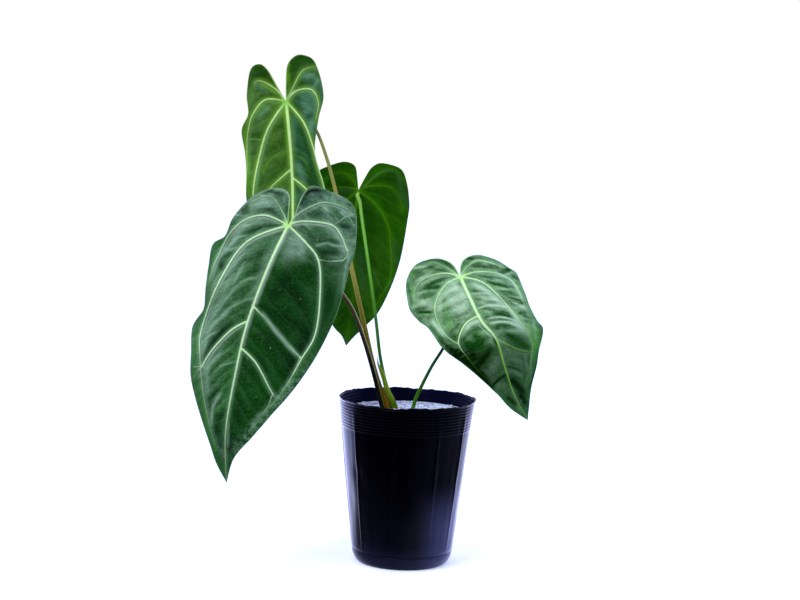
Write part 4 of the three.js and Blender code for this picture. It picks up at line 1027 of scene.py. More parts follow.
def bladeMaterial(name, look):
    maker = newMaterial(name)
    blend, noise = maker.blend, maker.noise
    vein, near, lit, edge, sinus, cross, side, lengthwise, shine, flanked = map(maker.attribute, (
        "vein", "near", "lit", "edge", "sinus", "cross", "side", "lengthwise", "shine", "flank",
    ))
    flat = maker.flat(1.0, 1.0, 1.0)
    broad = noise(flat, 0.035, 3.0).step(0.3, 0.7)
    cloudy = noise(flat, 0.16, 3.0)
    grain = noise(flat, 1.7)
    mottle = noise(flat, 0.5, 3.0, 0.6)
    mottled = mottle.step(0.3, 0.7)

    def brushed(across, outward, down, *settings):
        # streaks that run along the laterals
        where = {0: cross * across, 1: side * outward, 2: lengthwise * down}
        return noise(maker.wire("ShaderNodeCombineXYZ", where), *settings)

    hairs = brushed(7.0, 0.09, 0.01, 1.0, 2.0, 0.6).step(0.3, 0.7)
    combed = brushed(1.6, 0.035, 0.004, 1.15, 3.0, 0.55).step(0.32, 0.7)
    net = 1.0 - maker.cells(maker.flat(0.16, 0.26, 1.0), 1.0, "DISTANCE_TO_EDGE").step(0.0, 0.16)
    leftness = 1.0 - side.step(-5.0, 5.0)

    def bySide(pair):
        return leftness * pair[0] + (1.0 - leftness) * pair[1]

    def down(key):
        # soft step between two named places along the blade
        return lengthwise.step(*look[key])

    # veins, and the lit and the shaded flank beside each
    vein = abs(vein) / (maker.attribute("ribWidth") * (0.7 + 0.6 * mottle))
    line = (1.0 - vein.step(0.75, 1.25)) * (1.0 - near.step(1.5, 2.3)) * shine * (0.75 + 0.5 * cloudy)
    hub = maker.vectors("LENGTH", flat, output="Value")
    line = maker.maths("MAXIMUM", line, hub.bell(2.6)).limited()
    fine = 1.0 - abs(maker.attribute("link")).step(0.3, 0.8)
    fine = fine * (1.0 - maker.attribute("linkNear").step(1.4, 2.2)) * maker.attribute("linkShine")
    amount, place, width = look["lit"]
    close = 1.0 - near.step(place + width, place + 2.2 * width)
    alongMiddle = 1.0 - abs(side).step(3.5, 6.5)
    flanked = flanked * (0.6 + 0.4 * noise(flat, 0.09).step(0.3, 0.6))
    flank = (lit - place).bell(width) * close * amount * flanked * (1.0 - alongMiddle)
    flank = flank + (lit - 1.2).bell(2.6) * lit.step(0.0, 1.0) * alongMiddle * look["litMiddle"] * flanked
    shadow = (lit - 1.7).bell(0.7) * (1.0 - near.step(2.4, 3.4)) * look["litDark"]
    shadow = shadow * (1.0 - alongMiddle) * flanked
    halo = near.bell(look["halo"][0]) * look["halo"][1] * (0.3 + 0.7 * shine)
    # a pale line along the lobes' inner edges near the junction: a painted highlight on the raised edge
    inner = (1.0 - sinus.step(0.5, 1.5)) * (1.0 - hub.step(*look["innerTo"]))
    # laterals: a thin line, a painted highlight band on its tip side and a painted shade oval on its other
    # side
    phase = maker.maths("FRACT", cross)
    inside = near.step(1.8, 6.0) * edge.step(1.5, 8.0)
    thin = 1.0 - abs(maker.maths("SINE", cross * math.pi)).step(0.02, 0.24)
    thin = thin * near.step(0.5, 3.0)
    bright = (phase - 0.16).bell(0.14) * inside * combed
    paintedShade = (phase - 0.72).bell(0.2) * inside * (0.4 + 0.8 * broad)
    # towards the tip the painted sheen and highlights are dimmed, as painted shade
    low = lengthwise.step(look["tipFrom"][0] - 6.0, look["tipFrom"][1])
    dim = 1.0 - look["tipDim"] * low
    # painted sheen, strongest towards the margins and on the lobes, with painted highlight streaks along the
    # laterals
    sheenLeft = (0.0 - side).step(*look["sheenFrom"][0]) * look["sheenSides"][0]
    sheenRight = side.step(*look["sheenFrom"][1]) * look["sheenSides"][1] * down("sheenStart")
    sheenRight = sheenRight * (1.0 - look["sheenFade"] * down("sheenFadeAt"))
    paintedSheen = (sheenLeft + sheenRight) * (1.0 - 0.5 * down("sheenThin")) * (1.0 - 0.5 * paintedShade)
    lobes = (1.0 - down("lobeSheenTo")) * look["sheenLobes"]
    paintedSheen = paintedSheen + lobes * (0.25 + 0.9 * broad + 0.6 * cloudy.step(0.35, 0.65)) + look["sheenAll"]
    paintedSheen = paintedSheen * (0.15 + 1.05 * combed) + bySide(look["streaks"]) * bright
    paintedSheen = paintedSheen * (1.0 + look["combs"] * (hairs - 0.5)) * (0.8 + 0.4 * mottle) * dim
    # upper face
    shade = broad * 0.35 + cloudy.step(0.3, 0.7) * 0.3 + mottled * look["mottle"] + look["lift"]
    # darker in the ovals beside the laterals: painted shade
    shade = shade - paintedShade * bySide(look["ovalShade"]) * dim - (grain - 0.5) * look["grain"]
    # the halves' body tones, whose difference is painted light and shade, and darker towards the tip: painted
    # shade where the blade bends down
    color = maker.layers(
        blend(look["bodies"][1], look["bodies"][0], leftness),
        (look["lobeTone"], (1.0 - lengthwise.step(look["lobeFrom"], look["lobeTo"])) * 0.8),
        (look["tipTone"], down("tipFrom") * 0.85),
    )
    # strokes of tone, broken up a little: the pale ones painted highlights and sheen, the dark ones and those
    # along creases painted shade
    broken = (0.3 + 0.7 * cloudy + 0.6 * mottle) * (0.8 + 0.4 * hairs) * look["strokes"]
    pale, darker, fresh, creaseShade = (
        (maker.attribute(tone) * broken).limited() for tone in ("pale", "paintedShade", "fresh", "creaseShade")
    )
    bandColor, bandFrom, bandTo, bandLeft, bandRight = look["band"]
    band = (1.0 - edge.step(bandFrom, bandTo)) * bySide((bandLeft, bandRight)) * down("bandAt")
    pale = pale * dim
    color = maker.layers(
        blend(look["deep"], color, shade.limited()),
        (look["paintedSheen"], paintedSheen.limited()),
        (look["fresh"], fresh),
        (look["paintedShade"], darker),
        (look["paintedSheen"], pale),
        (bandColor, band * (0.6 + 0.8 * mottle)),
        (look["glow"], (halo * (0.3 + 0.7 * dim)).limited()),
        (look["litTone"], flank.limited()),
        (look["deep"], shadow.limited()),
        (look["glow"], (thin * look["lateral"] * combed * dim).limited()),
        (look["glow"], net * mottle.step(0.4, 0.6) * 0.04),
        (look["creaseShade"], creaseShade),
    )
    if look["crackle"]:
        crackle = maker.cells(maker.flat(0.5, 0.34, 1.0), 1.0, "DISTANCE_TO_EDGE")
        crackle = (1.0 - crackle.step(0.0, 0.22)) * (1.0 - edge.step(*look["crackleWidth"]))
        crackle = crackle * down("crackleAt") * side.step(*look["crackleSide"]) * cloudy.step(0.35, 0.6)
        color = blend(color, look["paintedSheen"], crackle * look["crackle"])
    if look["specks"]:
        specks = (1.0 - maker.cells(flat, 0.085).step(0.03, 0.09)) * noise(flat, 0.05, 1.0).step(0.48, 0.5)
        color = blend(color, look["speckTone"], specks * mottled * look["specks"])
    hubColor, hubSize = look["hub"]
    lineColor = blend(look["vein"], look["veinLow"], low)
    color = maker.layers(
        color,
        # a line along the margin: a painted rim highlight on the front, top and back blades, a darker line on
        # the right one
        (look["rim"], (1.0 - edge.step(0.2, 1.0)) * 0.6),
        (blend(look["paintedSheen"], look["vein"], 0.4), fine * (0.4 + 0.8 * mottle)),
        (look["vein"], (inner * 0.6).limited()),
        (hubColor, hub.bell(hubSize) * 0.35),
        (blend(lineColor, hubColor, hub.bell(hubSize * 1.6)), line * 0.95),
    )
    # under face
    underBody, underVein = look["under"]
    under = maker.layers(
        underBody,
        (underVein, (near.bell(4.0) * 0.2 + net * 0.1 + thin * 0.12).limited()),
        # painted shade in the ovals beside the laterals on the under face too
        (look["deep"], (paintedShade * 0.25 + (1.0 - broad) * 0.3).limited()),
        (look["fresh"], fresh),
        (look["paintedShade"], darker),
        (look["paintedSheen"], pale * 0.35),
        (underVein, line * 0.85),
    )
    color = blend(under, color, maker.attribute("upper").step(0.4, 0.6))
    rough = look["roughness"] + 0.18 * (grain - 0.5) - 0.1 * line
    height = grain * 0.35 + cloudy * 0.4 - net * 0.5
    return closeMaterial(maker, color, rough, (height, 0.35, 0.0005), {"Specular IOR Level": look["gloss"]})


for name, leaf in blades.items():
    leaf["strokes"] = bladeStrokes[name]
    finish = bladeMaterial("leafTissue_" + name, {**tissue, **bladeFinish[name]})
    blade = makeBlade("leafBlade_" + name, leaf, finish)
    dress(blade, "blade_" + name, "blade_" + name)
print("blades are made")


# Petioles. Each follows the solid's own path from the crown to just under its blade. Tones, and the
# paler tones of its highlights and its knee, are colours along it. A highlight stripe and a lit edge are
# painted highlights, each a place round it, a width and a strength, and its shade is painted shade.
petioles = {
    "front": {
        "path": [
            (-14.8, -1.5, 146.4), (-15.4, -1.6, 151), (-26, -1.5, 168), (-30.2, -4, 182), (-37.5, -11, 209),
            (-50, -23, 249), (-62.4, -33, 280), (-72, -38, 295), (-92, -48, 324), (-115, -57, 351),
        ],
        "foot": 2.8, "neck": 1.5, "taper": 0.9,
        "tones": [
            (0.0, paint(20, 34, 3)), (0.12, paint(12, 22, 2)), (0.32, paint(48, 44, 8)),
            (0.5, paint(100, 90, 48)), (1.0, paint(116, 106, 70)),
        ],
        "paleTones": [
            (0.0, paint(62, 74, 8)), (0.1, paint(104, 104, 34)), (0.18, paint(158, 156, 88)),
            (0.3, paint(206, 200, 152)),
        ],
        "highlightPlace": (0.64, 0.05, 1.0), "litEdge": (0.14, 0.05, 0.6), "shade": paint(20, 20, 2),
    },
    "top": {
        "path": [
            (-10.6, 3.7, 146.4), (-10.9, 3.7, 151), (-20.9, 4, 168), (-27, 5, 183), (-31.2, 6, 193),
            (-39.3, 8, 217), (-51.5, 12, 264), (-66.7, 16, 322), (-85.6, 22, 399), (-99, 26, 442),
            (-111.3, 28, 470), (-127, 31, 488),
        ],
        "foot": 3.0, "neck": 1.0, "taper": 0.55,
        "tones": [
            (0.0, paint(158, 92, 12)), (0.06, paint(150, 88, 10)), (0.14, paint(114, 98, 8)),
            (0.3, paint(146, 136, 38)), (0.48, paint(170, 164, 82)), (0.66, paint(156, 154, 70)),
            (0.8, paint(138, 148, 84)), (1.0, paint(150, 178, 100)),
        ],
        "paleTones": [(0.0, paint(198, 176, 140)), (0.5, paint(198, 176, 140)), (0.8, paint(170, 182, 130))],
        "highlightPlace": (0.66, 0.07, 0.6), "shade": paint(92, 84, 10),
    },
    "back": {
        "path": [
            (-4.6, 4.6, 146.4), (-4.9, 4.7, 151), (-14.2, 7.5, 168), (-19.6, 9.4, 182), (-24.4, 12, 196),
            (-31.3, 18, 222), (-38.1, 29, 264), (-50.6, 50, 332), (-58.8, 65, 375), (-61.5, 71, 390),
        ],
        "foot": 1.85, "neck": 1.8, "taper": 1.0,
        "tones": [
            (0.0, paint(70, 130, 10)), (0.15, paint(66, 132, 16)), (0.45, paint(50, 118, 6)),
            (0.6, paint(72, 150, 24)), (0.85, paint(122, 190, 74)),
        ],
        "paleTones": [(0.0, paint(110, 176, 60)), (0.8, paint(160, 212, 110))], "highlightPlace": (0.6, 0.1, 0.3),
        "shade": paint(22, 76, 0),
    },
    "right": {
        "path": [
            (-6.3, -3.6, 146.4), (-6, -3.4, 151), (5.8, 4, 168), (10, 2, 182), (25, -6, 217), (37, -11, 239),
            (46, -16, 262), (52, -21, 284), (54, -24, 300),
        ],
        "foot": 2.25, "neck": 1.4, "taper": 1.5,
        "tones": [
            (0.0, paint(80, 144, 6)), (0.15, paint(66, 128, 6)), (0.4, paint(40, 92, 6)),
            (0.65, paint(12, 56, 6)),
        ],
        "paleTones": [(0.0, paint(110, 165, 60)), (1.0, paint(70, 120, 50))], "highlightPlace": (0.6, 0.1, 0.3),
        "shade": paint(30, 80, 6),
    },
}
petioleBuild = {
    "steps": 220,
    "sides": 24,
    "lead": 6.0,
    "swelling": 0.35,
    "groove": 0.16,
    # how far its end stays under the blade's middle
    "gap": 0.45,
}


def petiolePath(name):
    # from the crown to its blade, which it meets squarely
    u, s = np.array([0.0, 2, -2, 0, 0]), np.array([4.0, 4, 4, 2, 6])
    points = surfacePoints(blades[name], u, s)[0]
    out = np.cross(points[1] - points[2], points[3] - points[4])
    out = out / np.linalg.norm(out)
    end = points[0] - out * petioleBuild["gap"]
    lead = end - out * petioleBuild["lead"]
    return centripetal([*petioles[name]["path"], lead, end], 12)


def petioleTree(material):
    # a strand swept along a line of points, grooved on one side
    lengths, counts = ("Foot", "Neck", "Taper", "Swelling", "Groove"), ("Steps", "Sides")
    maker, given = newTree("sweptPetiole", lengths, counts)

    def stored(geometry, name, value):
        inputs = {"Geometry": geometry, "Name": name, "Value": value}
        return maker.wire("GeometryNodeStoreNamedAttribute", inputs, data_type="FLOAT", domain="POINT")

    line = maker.wire("GeometryNodeMeshToCurve", {"Mesh": given["Geometry"]})
    line = maker.wire("GeometryNodeResampleCurve", {"Curve": line, "Count": given["Steps"]})
    t = maker.wire("GeometryNodeSplineParameter")
    line = stored(line, "along", t)
    taper = (given["Foot"] - given["Neck"]) * (1.0 - t) ** given["Taper"]
    radius = given["Neck"] + taper + given["Swelling"] * (t - 0.96).bell(0.05)
    ring = maker.wire("GeometryNodeCurvePrimitiveCircle", {"Resolution": given["Sides"], "Radius": 1.0})
    turn = maker.wire("GeometryNodeSplineParameter")
    hollow = given["Groove"] * (turn - 0.5).bell(0.07)
    place = maker.wire("GeometryNodeInputPosition")
    inward = maker.wire("ShaderNodeVectorMath", {"Vector": place, "Scale": 1.0 - hollow}, operation="SCALE")
    ring = maker.wire("GeometryNodeSetPosition", {"Geometry": ring, "Position": inward})
    inputs = {"Curve": line, "Profile Curve": stored(ring, "round", turn), "Scale": radius, "Fill Caps": True}
    return closeTree(maker, maker.wire("GeometryNodeCurveToMesh", inputs), material)


def petioleMaterial(name, look):
    maker = newMaterial(name)
    along, turn = maker.attribute("along"), maker.attribute("round")
    speckle = maker.noise(maker.place(), 900.0)
    streak = maker.noise(maker.place(1.0, 1.0, 0.12), 700.0)
    pale = maker.ramp(look["paleTones"], along)
    # a painted highlight stripe down one side, and painted shade down the other
    place, width, amount = look["highlightPlace"]
    highlight = (turn - place).bell(width) * amount * (0.6 + 0.6 * streak)
    coats = [(look["shade"], (turn - 0.32).bell(0.13) * 0.75), (pale, highlight.limited())]
    # a painted highlight along one lit edge of the upper part
    if "litEdge" in look:
        place, width, amount = look["litEdge"]
        coats.append((pale, (turn - place).bell(width) * amount * along.step(0.42, 0.6)))
    coats += [(look["shade"], speckle.step(0.55, 0.75) * 0.3), (pale, (along - 0.965).bell(0.03) * 0.5)]
    color = maker.layers(maker.ramp(look["tones"], along), *coats)
    relief = (streak + 0.4 * speckle, 0.3, 0.0003)
    return closeMaterial(maker, color, 0.38 + 0.2 * streak, relief, {"Specular IOR Level": 0.04})


for name, strand in petioles.items():
    tree = petioleTree(petioleMaterial("stalkSkin_" + name, strand))
    way = petiolePath(name)
    line = bpy.data.meshes.new("petiole_" + name)
    line.from_pydata((way * mm).tolist(), [(k, k + 1) for k in range(len(way) - 1)], [])
    petiole = linkObject("leafStalk_" + name, line)
    runTree(petiole, tree, {
        "Foot": strand["foot"] * mm, "Neck": strand["neck"] * mm, "Taper": strand["taper"],
        "Swelling": petioleBuild["swelling"] * mm, "Groove": petioleBuild["groove"],
        "Steps": petioleBuild["steps"], "Sides": petioleBuild["sides"],
    })
    dress(petiole, "petiole_" + name, "petiole_" + name)
print("petioles are made")


# Cataphyll, the sheath round the foot of the back leaf's petiole.
cataphyll = {
    # height on the petiole, radius round it, half the angle that it wraps
    "stations": [
        (152, 3.2, 118), (160, 4.0, 122), (168, 4.5, 122), (177, 4.8, 118), (184, 4.1, 112),
        (191, 3.5, 104), (199, 3.4, 88), (206, 4.2, 62), (211, 4.5, 44), (216, 4.4, 26), (223, 3.0, 6),
    ],
    # how far its middle stands to the right of the petiole's, at each height
    "offsets": [(152, 0.8), (168, 0.8), (177, 1.2), (186, 0.0), (223, 0.0)],
    # the direction that its back faces, at each height
    "turns": [(152, 205), (190, 207), (201, 222), (209, 222), (216, 208), (223, 198)],
    "thickness": 0.45,
    "rows": 72,
    "columns": 26,
    # the height where it leaves the medium, and how far it rises above
    "rise": (168, 54),
    "flesh": paint(78, 108, 3),
    # the young upper part's yellow-green, brightened as painted light shining through the thin sheath
    "youngAndBacklit": paint(196, 226, 60),
    "dry": paint(230, 216, 160),
    "tip": paint(96, 160, 50),
}


def makeCataphyll():
    z = np.linspace(cataphyll["stations"][0][0], cataphyll["stations"][-1][0], cataphyll["rows"])[:, None]
    across = np.linspace(-1, 1, cataphyll["columns"])
    stations = throughPoints(cataphyll["stations"], 16)
    offsets, turns = (np.array(cataphyll[key]) for key in ("offsets", "turns"))
    way = petiolePath("back")
    radius, wrap = (np.interp(z, stations[:, 0], stations[:, k]) for k in (1, 2))
    x, y = (np.interp(z, way[:, 2], way[:, k]) for k in (0, 1))
    x = x + np.interp(z, offsets[:, 0], offsets[:, 1])
    turn = np.radians(np.interp(z, turns[:, 0], turns[:, 1])) + np.radians(wrap) * across
    radius = radius * (1 + 0.02 * np.sin(5 * turn + z / 4))
    grid = np.stack([x + radius * np.cos(turn), y + radius * np.sin(turn), z + 0 * turn], -1)
    faces = cellFaces(np.arange(turn.size).reshape(turn.shape)).tolist()
    border = np.tile(np.abs(across), len(z))
    half = cataphyll["thickness"] / 2 * (1 - 0.55 * border**4)
    made = thickSheet("sheathingCataphyll", grid.reshape(-1, 3), faces, half, half, cataphyllMaterial())
    start, span = cataphyll["rise"]
    rise = np.repeat((z[:, 0] - start) / span, len(across))
    addAttributes(made, {"border": np.tile(border, 2), "rise": np.tile(rise, 2)})
    return made


def cataphyllMaterial():
    maker = newMaterial("sheathTissue")
    rise = maker.attribute("rise")
    streak = maker.noise(maker.place(1.0, 1.0, 0.1), 1300.0, 3.0)
    worn = maker.attribute("border").step(0.8, 1.0) * rise.step(0.2, 0.7) * 0.8
    color = maker.layers(
        cataphyll["flesh"],
        # the young upper part, brightened: partly painted light shining through
        (cataphyll["youngAndBacklit"], (rise * 1.2 + 0.4 * streak - 0.3).limited()),
        (cataphyll["dry"], worn.limited()),
        (cataphyll["tip"], rise.step(0.8, 0.92)),
    )
    relief = (streak, 0.4, 0.0003)
    return closeMaterial(maker, color, 0.45 + 0.2 * streak, relief, {"Specular IOR Level": 0.08})


dress(makeCataphyll(), "cataphyll", "cataphyll")
print("cataphyll is made")


# Pot, a thin film that is nearly flat between its upright ribs.
pot = {
    "height": 181.5,
    "rimRadius": 75.2,
    "lipRadius": 74.4,
    "wallFoot": (15.6, 55.5),
    "slope": 0.1103,
    "meanRadius": 62,
    "foot": [(0, 46.5), (0.8, 48.8), (4, 51.8), (9, 54.3), (13.2, 55.2)],
    "groove": [(13.6, 55.1), (14.3, 54.4), (15.0, 54.4)],
    "grooveTop": 16.2,
    "wallFrom": 19,
    "wallStep": 3.2,
    "bandBottom": 150.2,
    "bandLift": 0.3,
    "ridgePitch": 3.3,
    "ridgeHeight": 0.24,
    "ribTurns": [-140, -100, -60, -31, 10, 52, 94, 136, 178],
    "ribHalf": 1.8,
    "ribLift": 0.4,
    # places of the corners across a rib, in halves of its width, and corners between two ribs
    "ribPlaces": (-1.4, -1.0, -0.85, -0.7, -0.45, 0, 0.45, 0.7, 0.85, 1.0, 1.4),
    "between": 18,
    "panelDepth": 1.5,
    "wall": 1.2,
    "rimWall": 0.55,
    # the inner wall: where the band shows on it and how much, where it thins, and its rows below
    "innerBandFrom": 150,
    "innerBand": (0.35, 0.6),
    "thinFrom": 165,
    "innerRows": (146, 18, -8.0),
    "floor": 1.8,
    "base": [(9.5, 52.6), (5, 50.2), (2.8, 47.4), (1.8, 44)],
    "drains": 8,
    "drainCircle": 31,
    "drainRadius": 4.5,
    "drainSides": 24,
    "drainReach": 4,
    # angle in degrees, height, depth and radius of each dent
    "dents": [
        (-143, 104, 0.9, 7), (-134, 88, 0.5, 9), (-63, 131, 0.6, 5), (-50, 62, 0.5, 12),
        (40, 90, 0.6, 9), (-158, 70, 0.6, 10), (-24, 96, 0.5, 8), (120, 110, 0.7, 9),
    ],
    # angle in degrees, depth and reach of the lowest place in the trimmed rim
    "rimDip": (-104, 2.2, 14),
    # where the film is dusty, low, painted with a bluish reflection, dull, and still shiny, in metres
    "dustAndReflectionTo": (0.0, 0.07),
    "lowTo": (0.04, 0.1),
    "reflectionRight": (0.012, 0.05),
    "reflectionFoot": (0.004, 0.03),
    "reflectionLeft": (0.052, 0.064),
    "dullRight": (0.03, 0.06),
    "dullFoot": (0.003, 0.02),
    "shinyFoot": (0.005, 0.03),
    "shinyRight": (-0.01, 0.05),
    "plastic": paint(1, 1, 4),
    # the dust's navy tone is partly a painted bluish reflection
    "dustAndReflection": paint(22, 25, 46),
    # painted bluish reflection
    "reflectionTone": paint(54, 59, 94),
    # the inner wall's navy: painted reflection
    "innerReflection": paint(12, 13, 40),
}


def wallRadius(z):
    return pot["wallFoot"][1] + pot["slope"] * (z - pot["wallFoot"][0])


def potProfile():
    # outer radius at each height, from the underside to the rim, then the inner one back down
    height, bottom, top = pot["height"], pot["bandBottom"], pot["grooveTop"]
    foot = throughPoints(pot["foot"], 5)
    groove = throughPoints([*pot["groove"], (top, wallRadius(top))], 4)
    wall = [(z, wallRadius(z)) for z in np.arange(pot["wallFrom"], bottom - 1, pot["wallStep"])]
    band = []
    for z in np.arange(bottom - 0.5, height - 2.5, pot["ridgePitch"] / 9):
        turn = 2 * math.pi * (z - bottom) / pot["ridgePitch"]
        lift = pot["bandLift"] * smoothStep(z, bottom - 0.5, bottom + 2.4)
        band.append((z, wallRadius(z) + lift + pot["ridgeHeight"] * math.sin(turn)))
    lip = throughPoints([band[-1], (height - 1.2, pot["lipRadius"]), (height, pot["rimRadius"])], 4)[1:]
    outside = np.vstack([foot, groove, wall, band, lip])
    high = outside[outside[:, 0] > pot["innerBandFrom"]][::-1]
    thin = smoothStep(high[:, 0], pot["thinFrom"], height)
    thickness = pot["wall"] + (pot["rimWall"] - pot["wall"]) * thin
    shift, share = pot["innerBand"]
    smooth = wallRadius(high[:, 0]) + shift
    inside = np.stack([high[:, 0], smooth + share * (high[:, 1] - smooth) - thickness], -1)
    low = [(z, wallRadius(z) - pot["wall"]) for z in np.arange(*pot["innerRows"])]
    return outside, np.vstack([inside, low, pot["base"]])


def potAngles():
    # closer together across each rib
    near = [f * pot["ribHalf"] / pot["meanRadius"] for f in pot["ribPlaces"]]
    turns = [math.radians(turn) for turn in pot["ribTurns"]]
    angles = []
    for here, following in zip(turns, turns[1:] + [turns[0] + 2 * math.pi]):
        between = np.linspace(near[-1], following - here - near[-1], pot["between"])[1:-1]
        angles += [here + step for step in (*near, *between)]
    return np.array(angles)


def inPanel(angle):
    # distance from the nearest rib as an angle, and 1 at a rib to 0 half way between two
    turns = np.radians(pot["ribTurns"])
    edges = np.append(turns - turns[0], 2 * math.pi)
    turned = (angle - turns[0] + 1e-9) % (2 * math.pi)
    k = np.clip(np.searchsorted(edges, turned, side="right") - 1, 0, len(turns) - 1)
    span = edges[k + 1] - edges[k]
    place = turned - edges[k]
    return np.minimum(place, span - place), np.abs(2 * place / span - 1), span


def potShape(angle, z, outer):
    # how far the thin wall leaves its round, drawn shape
    radius = pot["meanRadius"]
    onWall = smoothStep(z, 17, 24) * (1 - smoothStep(z, 146, 150))
    rib, side, span = inPanel(angle)
    across = rib * radius / pot["ribHalf"]
    ridge = (1 - smoothStep(across, 0.55, 1.1)) * (1 - 0.35 * (1 - smoothStep(across, 0.0, 0.6)))
    panel = (side**2 - 0.5) * (span / math.radians(40)) ** 2
    panel = panel - 0.22 * softDip(rib * radius - 4.5, 1.6) * np.cos(z / 17) ** 2
    flat = smoothStep(z, 24, 90) * (1 - 0.8 * smoothStep(z, 160, 178))
    out = pot["ribLift"] * ridge * onWall * outer + pot["panelDepth"] * flat * panel
    wobble = 0.28 * np.sin(3 * angle + 0.5 + z / 70) + 0.16 * np.sin(7 * angle + 1.2 - z / 45)
    streaks = 0.07 * np.sin(19 * angle + 0.9 * np.sin(z / 33)) + 0.05 * np.sin(33 * angle - z / 61)
    out = out + smoothStep(z, 10, 60) * 0.8 * wobble + onWall * streaks * outer
    for turn, height, depth, reach in pot["dents"]:
        arc = (angle - math.radians(turn) + math.pi) % (2 * math.pi) - math.pi
        far = np.hypot(arc * radius, (z - height) * 0.8)
        out = out - depth * softDip(far, reach) * (0.4 + 0.6 * outer)
    rim = smoothStep(z, pot["height"] - 6, pot["height"])
    out = out + rim * (0.45 * np.sin(5 * angle + 1) + 0.25 * np.sin(11 * angle))
    trim = np.sin(3 * angle + 0.6) + 0.6 * np.sin(7 * angle + 2) + 0.5 * np.sin(12 * angle)
    rough = 0.5 * np.sin(29 * angle + 2 * np.sin(4 * angle)) + 0.35 * np.sin(53 * angle + 1)
    turn, depth, reach = pot["rimDip"]
    dip = depth * softDip((np.degrees(angle) - turn + 180) % 360 - 180, reach)
    return out, rim * (0.5 * trim + 0.6 * rough * rim**3 - dip)


def circle(radius, sides, x=0.0, y=0.0):
    angles = np.linspace(0, 2 * math.pi, sides, endpoint=False)
    return np.stack([x + radius * np.cos(angles), y + radius * np.sin(angles)], -1)


def makePot():
    outside, inside = potProfile()
    angles = potAngles()
    rings = []
    for profile, outer in ((outside, 1.0), (inside, 0.0)):
        for z, r in profile:
            out, lift = potShape(angles, np.full(angles.shape, z), outer)
            radius = r + out * smoothStep(np.array(z), 0, 6)
            rings.append(np.stack([radius * np.cos(angles), radius * np.sin(angles), z + lift], -1))
    count, rows = len(angles), len(rings)
    ids = np.arange(rows * count).reshape(rows, count)
    ids = np.hstack([ids, ids[:, :1]])
    faces = cellFaces(ids).tolist()
    low, high = rows * count, rows * count + 1
    faces += [[low, b, a] for a, b in zip(ids[0], ids[0, 1:])]
    faces += [[high, a, b] for a, b in zip(ids[-1], ids[-1, 1:])]
    points = np.vstack([*rings, [[0, 0, 0]], [[0, 0, pot["floor"]]]])
    made = meshObject("nurseryPot", points, faces, potMaterial())
    cutDrains(made)
    return made


def cutDrains(made):
    points, faces = [], []
    sides = pot["drainSides"]
    for k in range(pot["drains"]):
        turn = 2 * math.pi * (k + 0.5) / pot["drains"]
        x, y = pot["drainCircle"] * math.cos(turn), pot["drainCircle"] * math.sin(turn)
        start = len(points)
        ring = circle(pot["drainRadius"], sides, x, y)
        points += [(*place, z) for z in (-pot["drainReach"], pot["drainReach"]) for place in ring]
        for j in range(sides):
            a, b = start + j, start + (j + 1) % sides
            faces.append([a, b, b + sides, a + sides])
        faces.append(list(range(start + sides - 1, start - 1, -1)))
        faces.append(list(range(start + sides, start + 2 * sides)))
    cutter = meshObject("drains", points, faces, made.data.materials[0])
    cut = made.modifiers.new("drains", "BOOLEAN")
    cut.operation = "DIFFERENCE"
    cut.solver = "EXACT"
    cut.object = cutter
    bake(made, cut)
    bpy.data.objects.remove(cutter)


def potMaterial():
    maker = newMaterial("blackFilm")
    place = maker.place()
    streak = maker.noise(maker.place(1.0, 1.0, 0.07), 260.0, 3.0)
    scratch = maker.noise(maker.place(1.0, 1.0, 0.02), 1400.0)
    cloud = maker.noise(place, 28.0, 3.0)
    sideways, height = maker.axis(place, 0), maker.axis(place, 2)
    normal = maker.wire("ShaderNodeNewGeometry", None, "Normal")
    outward = maker.vectors("DOT_PRODUCT", normal, maker.place(1.0, 1.0, 0.0), output="Value")
    outward = outward.step(-0.01, 0.01)
    # dust low on the film and in scratches, in a navy tone that is partly a painted bluish reflection
    dustAndReflectionShare = (1.0 - height.step(*pot["dustAndReflectionTo"])) * cloud.step(0.35, 0.7) * 0.3
    dustAndReflectionShare = dustAndReflectionShare + scratch.step(0.68, 0.8) * 0.08
    # painted bluish reflection at the foot, on the lower right and on the left
    low = 1.0 - height.step(*pot["lowTo"])
    worn = sideways.step(*pot["reflectionRight"]) * low * 0.65 + (1.0 - height.step(*pot["reflectionFoot"])) * 0.15
    worn = worn + (0.0 - sideways).step(*pot["reflectionLeft"]) * (1.0 - low) * 0.6
    color = maker.layers(
        pot["plastic"],
        (pot["dustAndReflection"], dustAndReflectionShare.limited()),
        (pot["reflectionTone"], (worn * (0.6 + 0.8 * streak)).limited()),
    )
    # the inner wall in a navy tone: painted reflection
    color = maker.blend(pot["innerReflection"], color, outward)
    # the gloss shows most at a glance, less inside, on the lower right and at the foot
    facing = maker.wire("ShaderNodeLayerWeight", {"Blend": 0.5}, "Facing")
    coat = facing.step(0.42, 0.9) * (outward * 0.85 + 0.15)
    coat = coat * (1.0 - sideways.step(*pot["dullRight"]) * (1.0 - low) * 0.35)
    coat = coat * (0.4 + 0.6 * height.step(*pot["dullFoot"]))
    coat = coat + (1.0 - height.step(*pot["shinyFoot"])) * 0.04
    coat = coat + sideways.step(*pot["shinyRight"]) * low * 0.2
    rough = 0.2 + 0.14 * cloud + 0.06 * streak
    return closeMaterial(maker, color, rough, (streak * 0.7 + scratch * 0.15 + cloud * 0.4, 0.3, 0.0012), {
        "Specular IOR Level": 0.02,
        "Specular Tint": (0.8, 0.82, 1.0, 1.0),
        "Coat Weight": coat.limited(),
        "Coat Roughness": 0.12,
        "Coat IOR": 1.5,
        "Coat Tint": (0.86, 0.87, 1.0, 1.0),
    })


dress(makePot(), "pot", "pot")
print("pot is made")


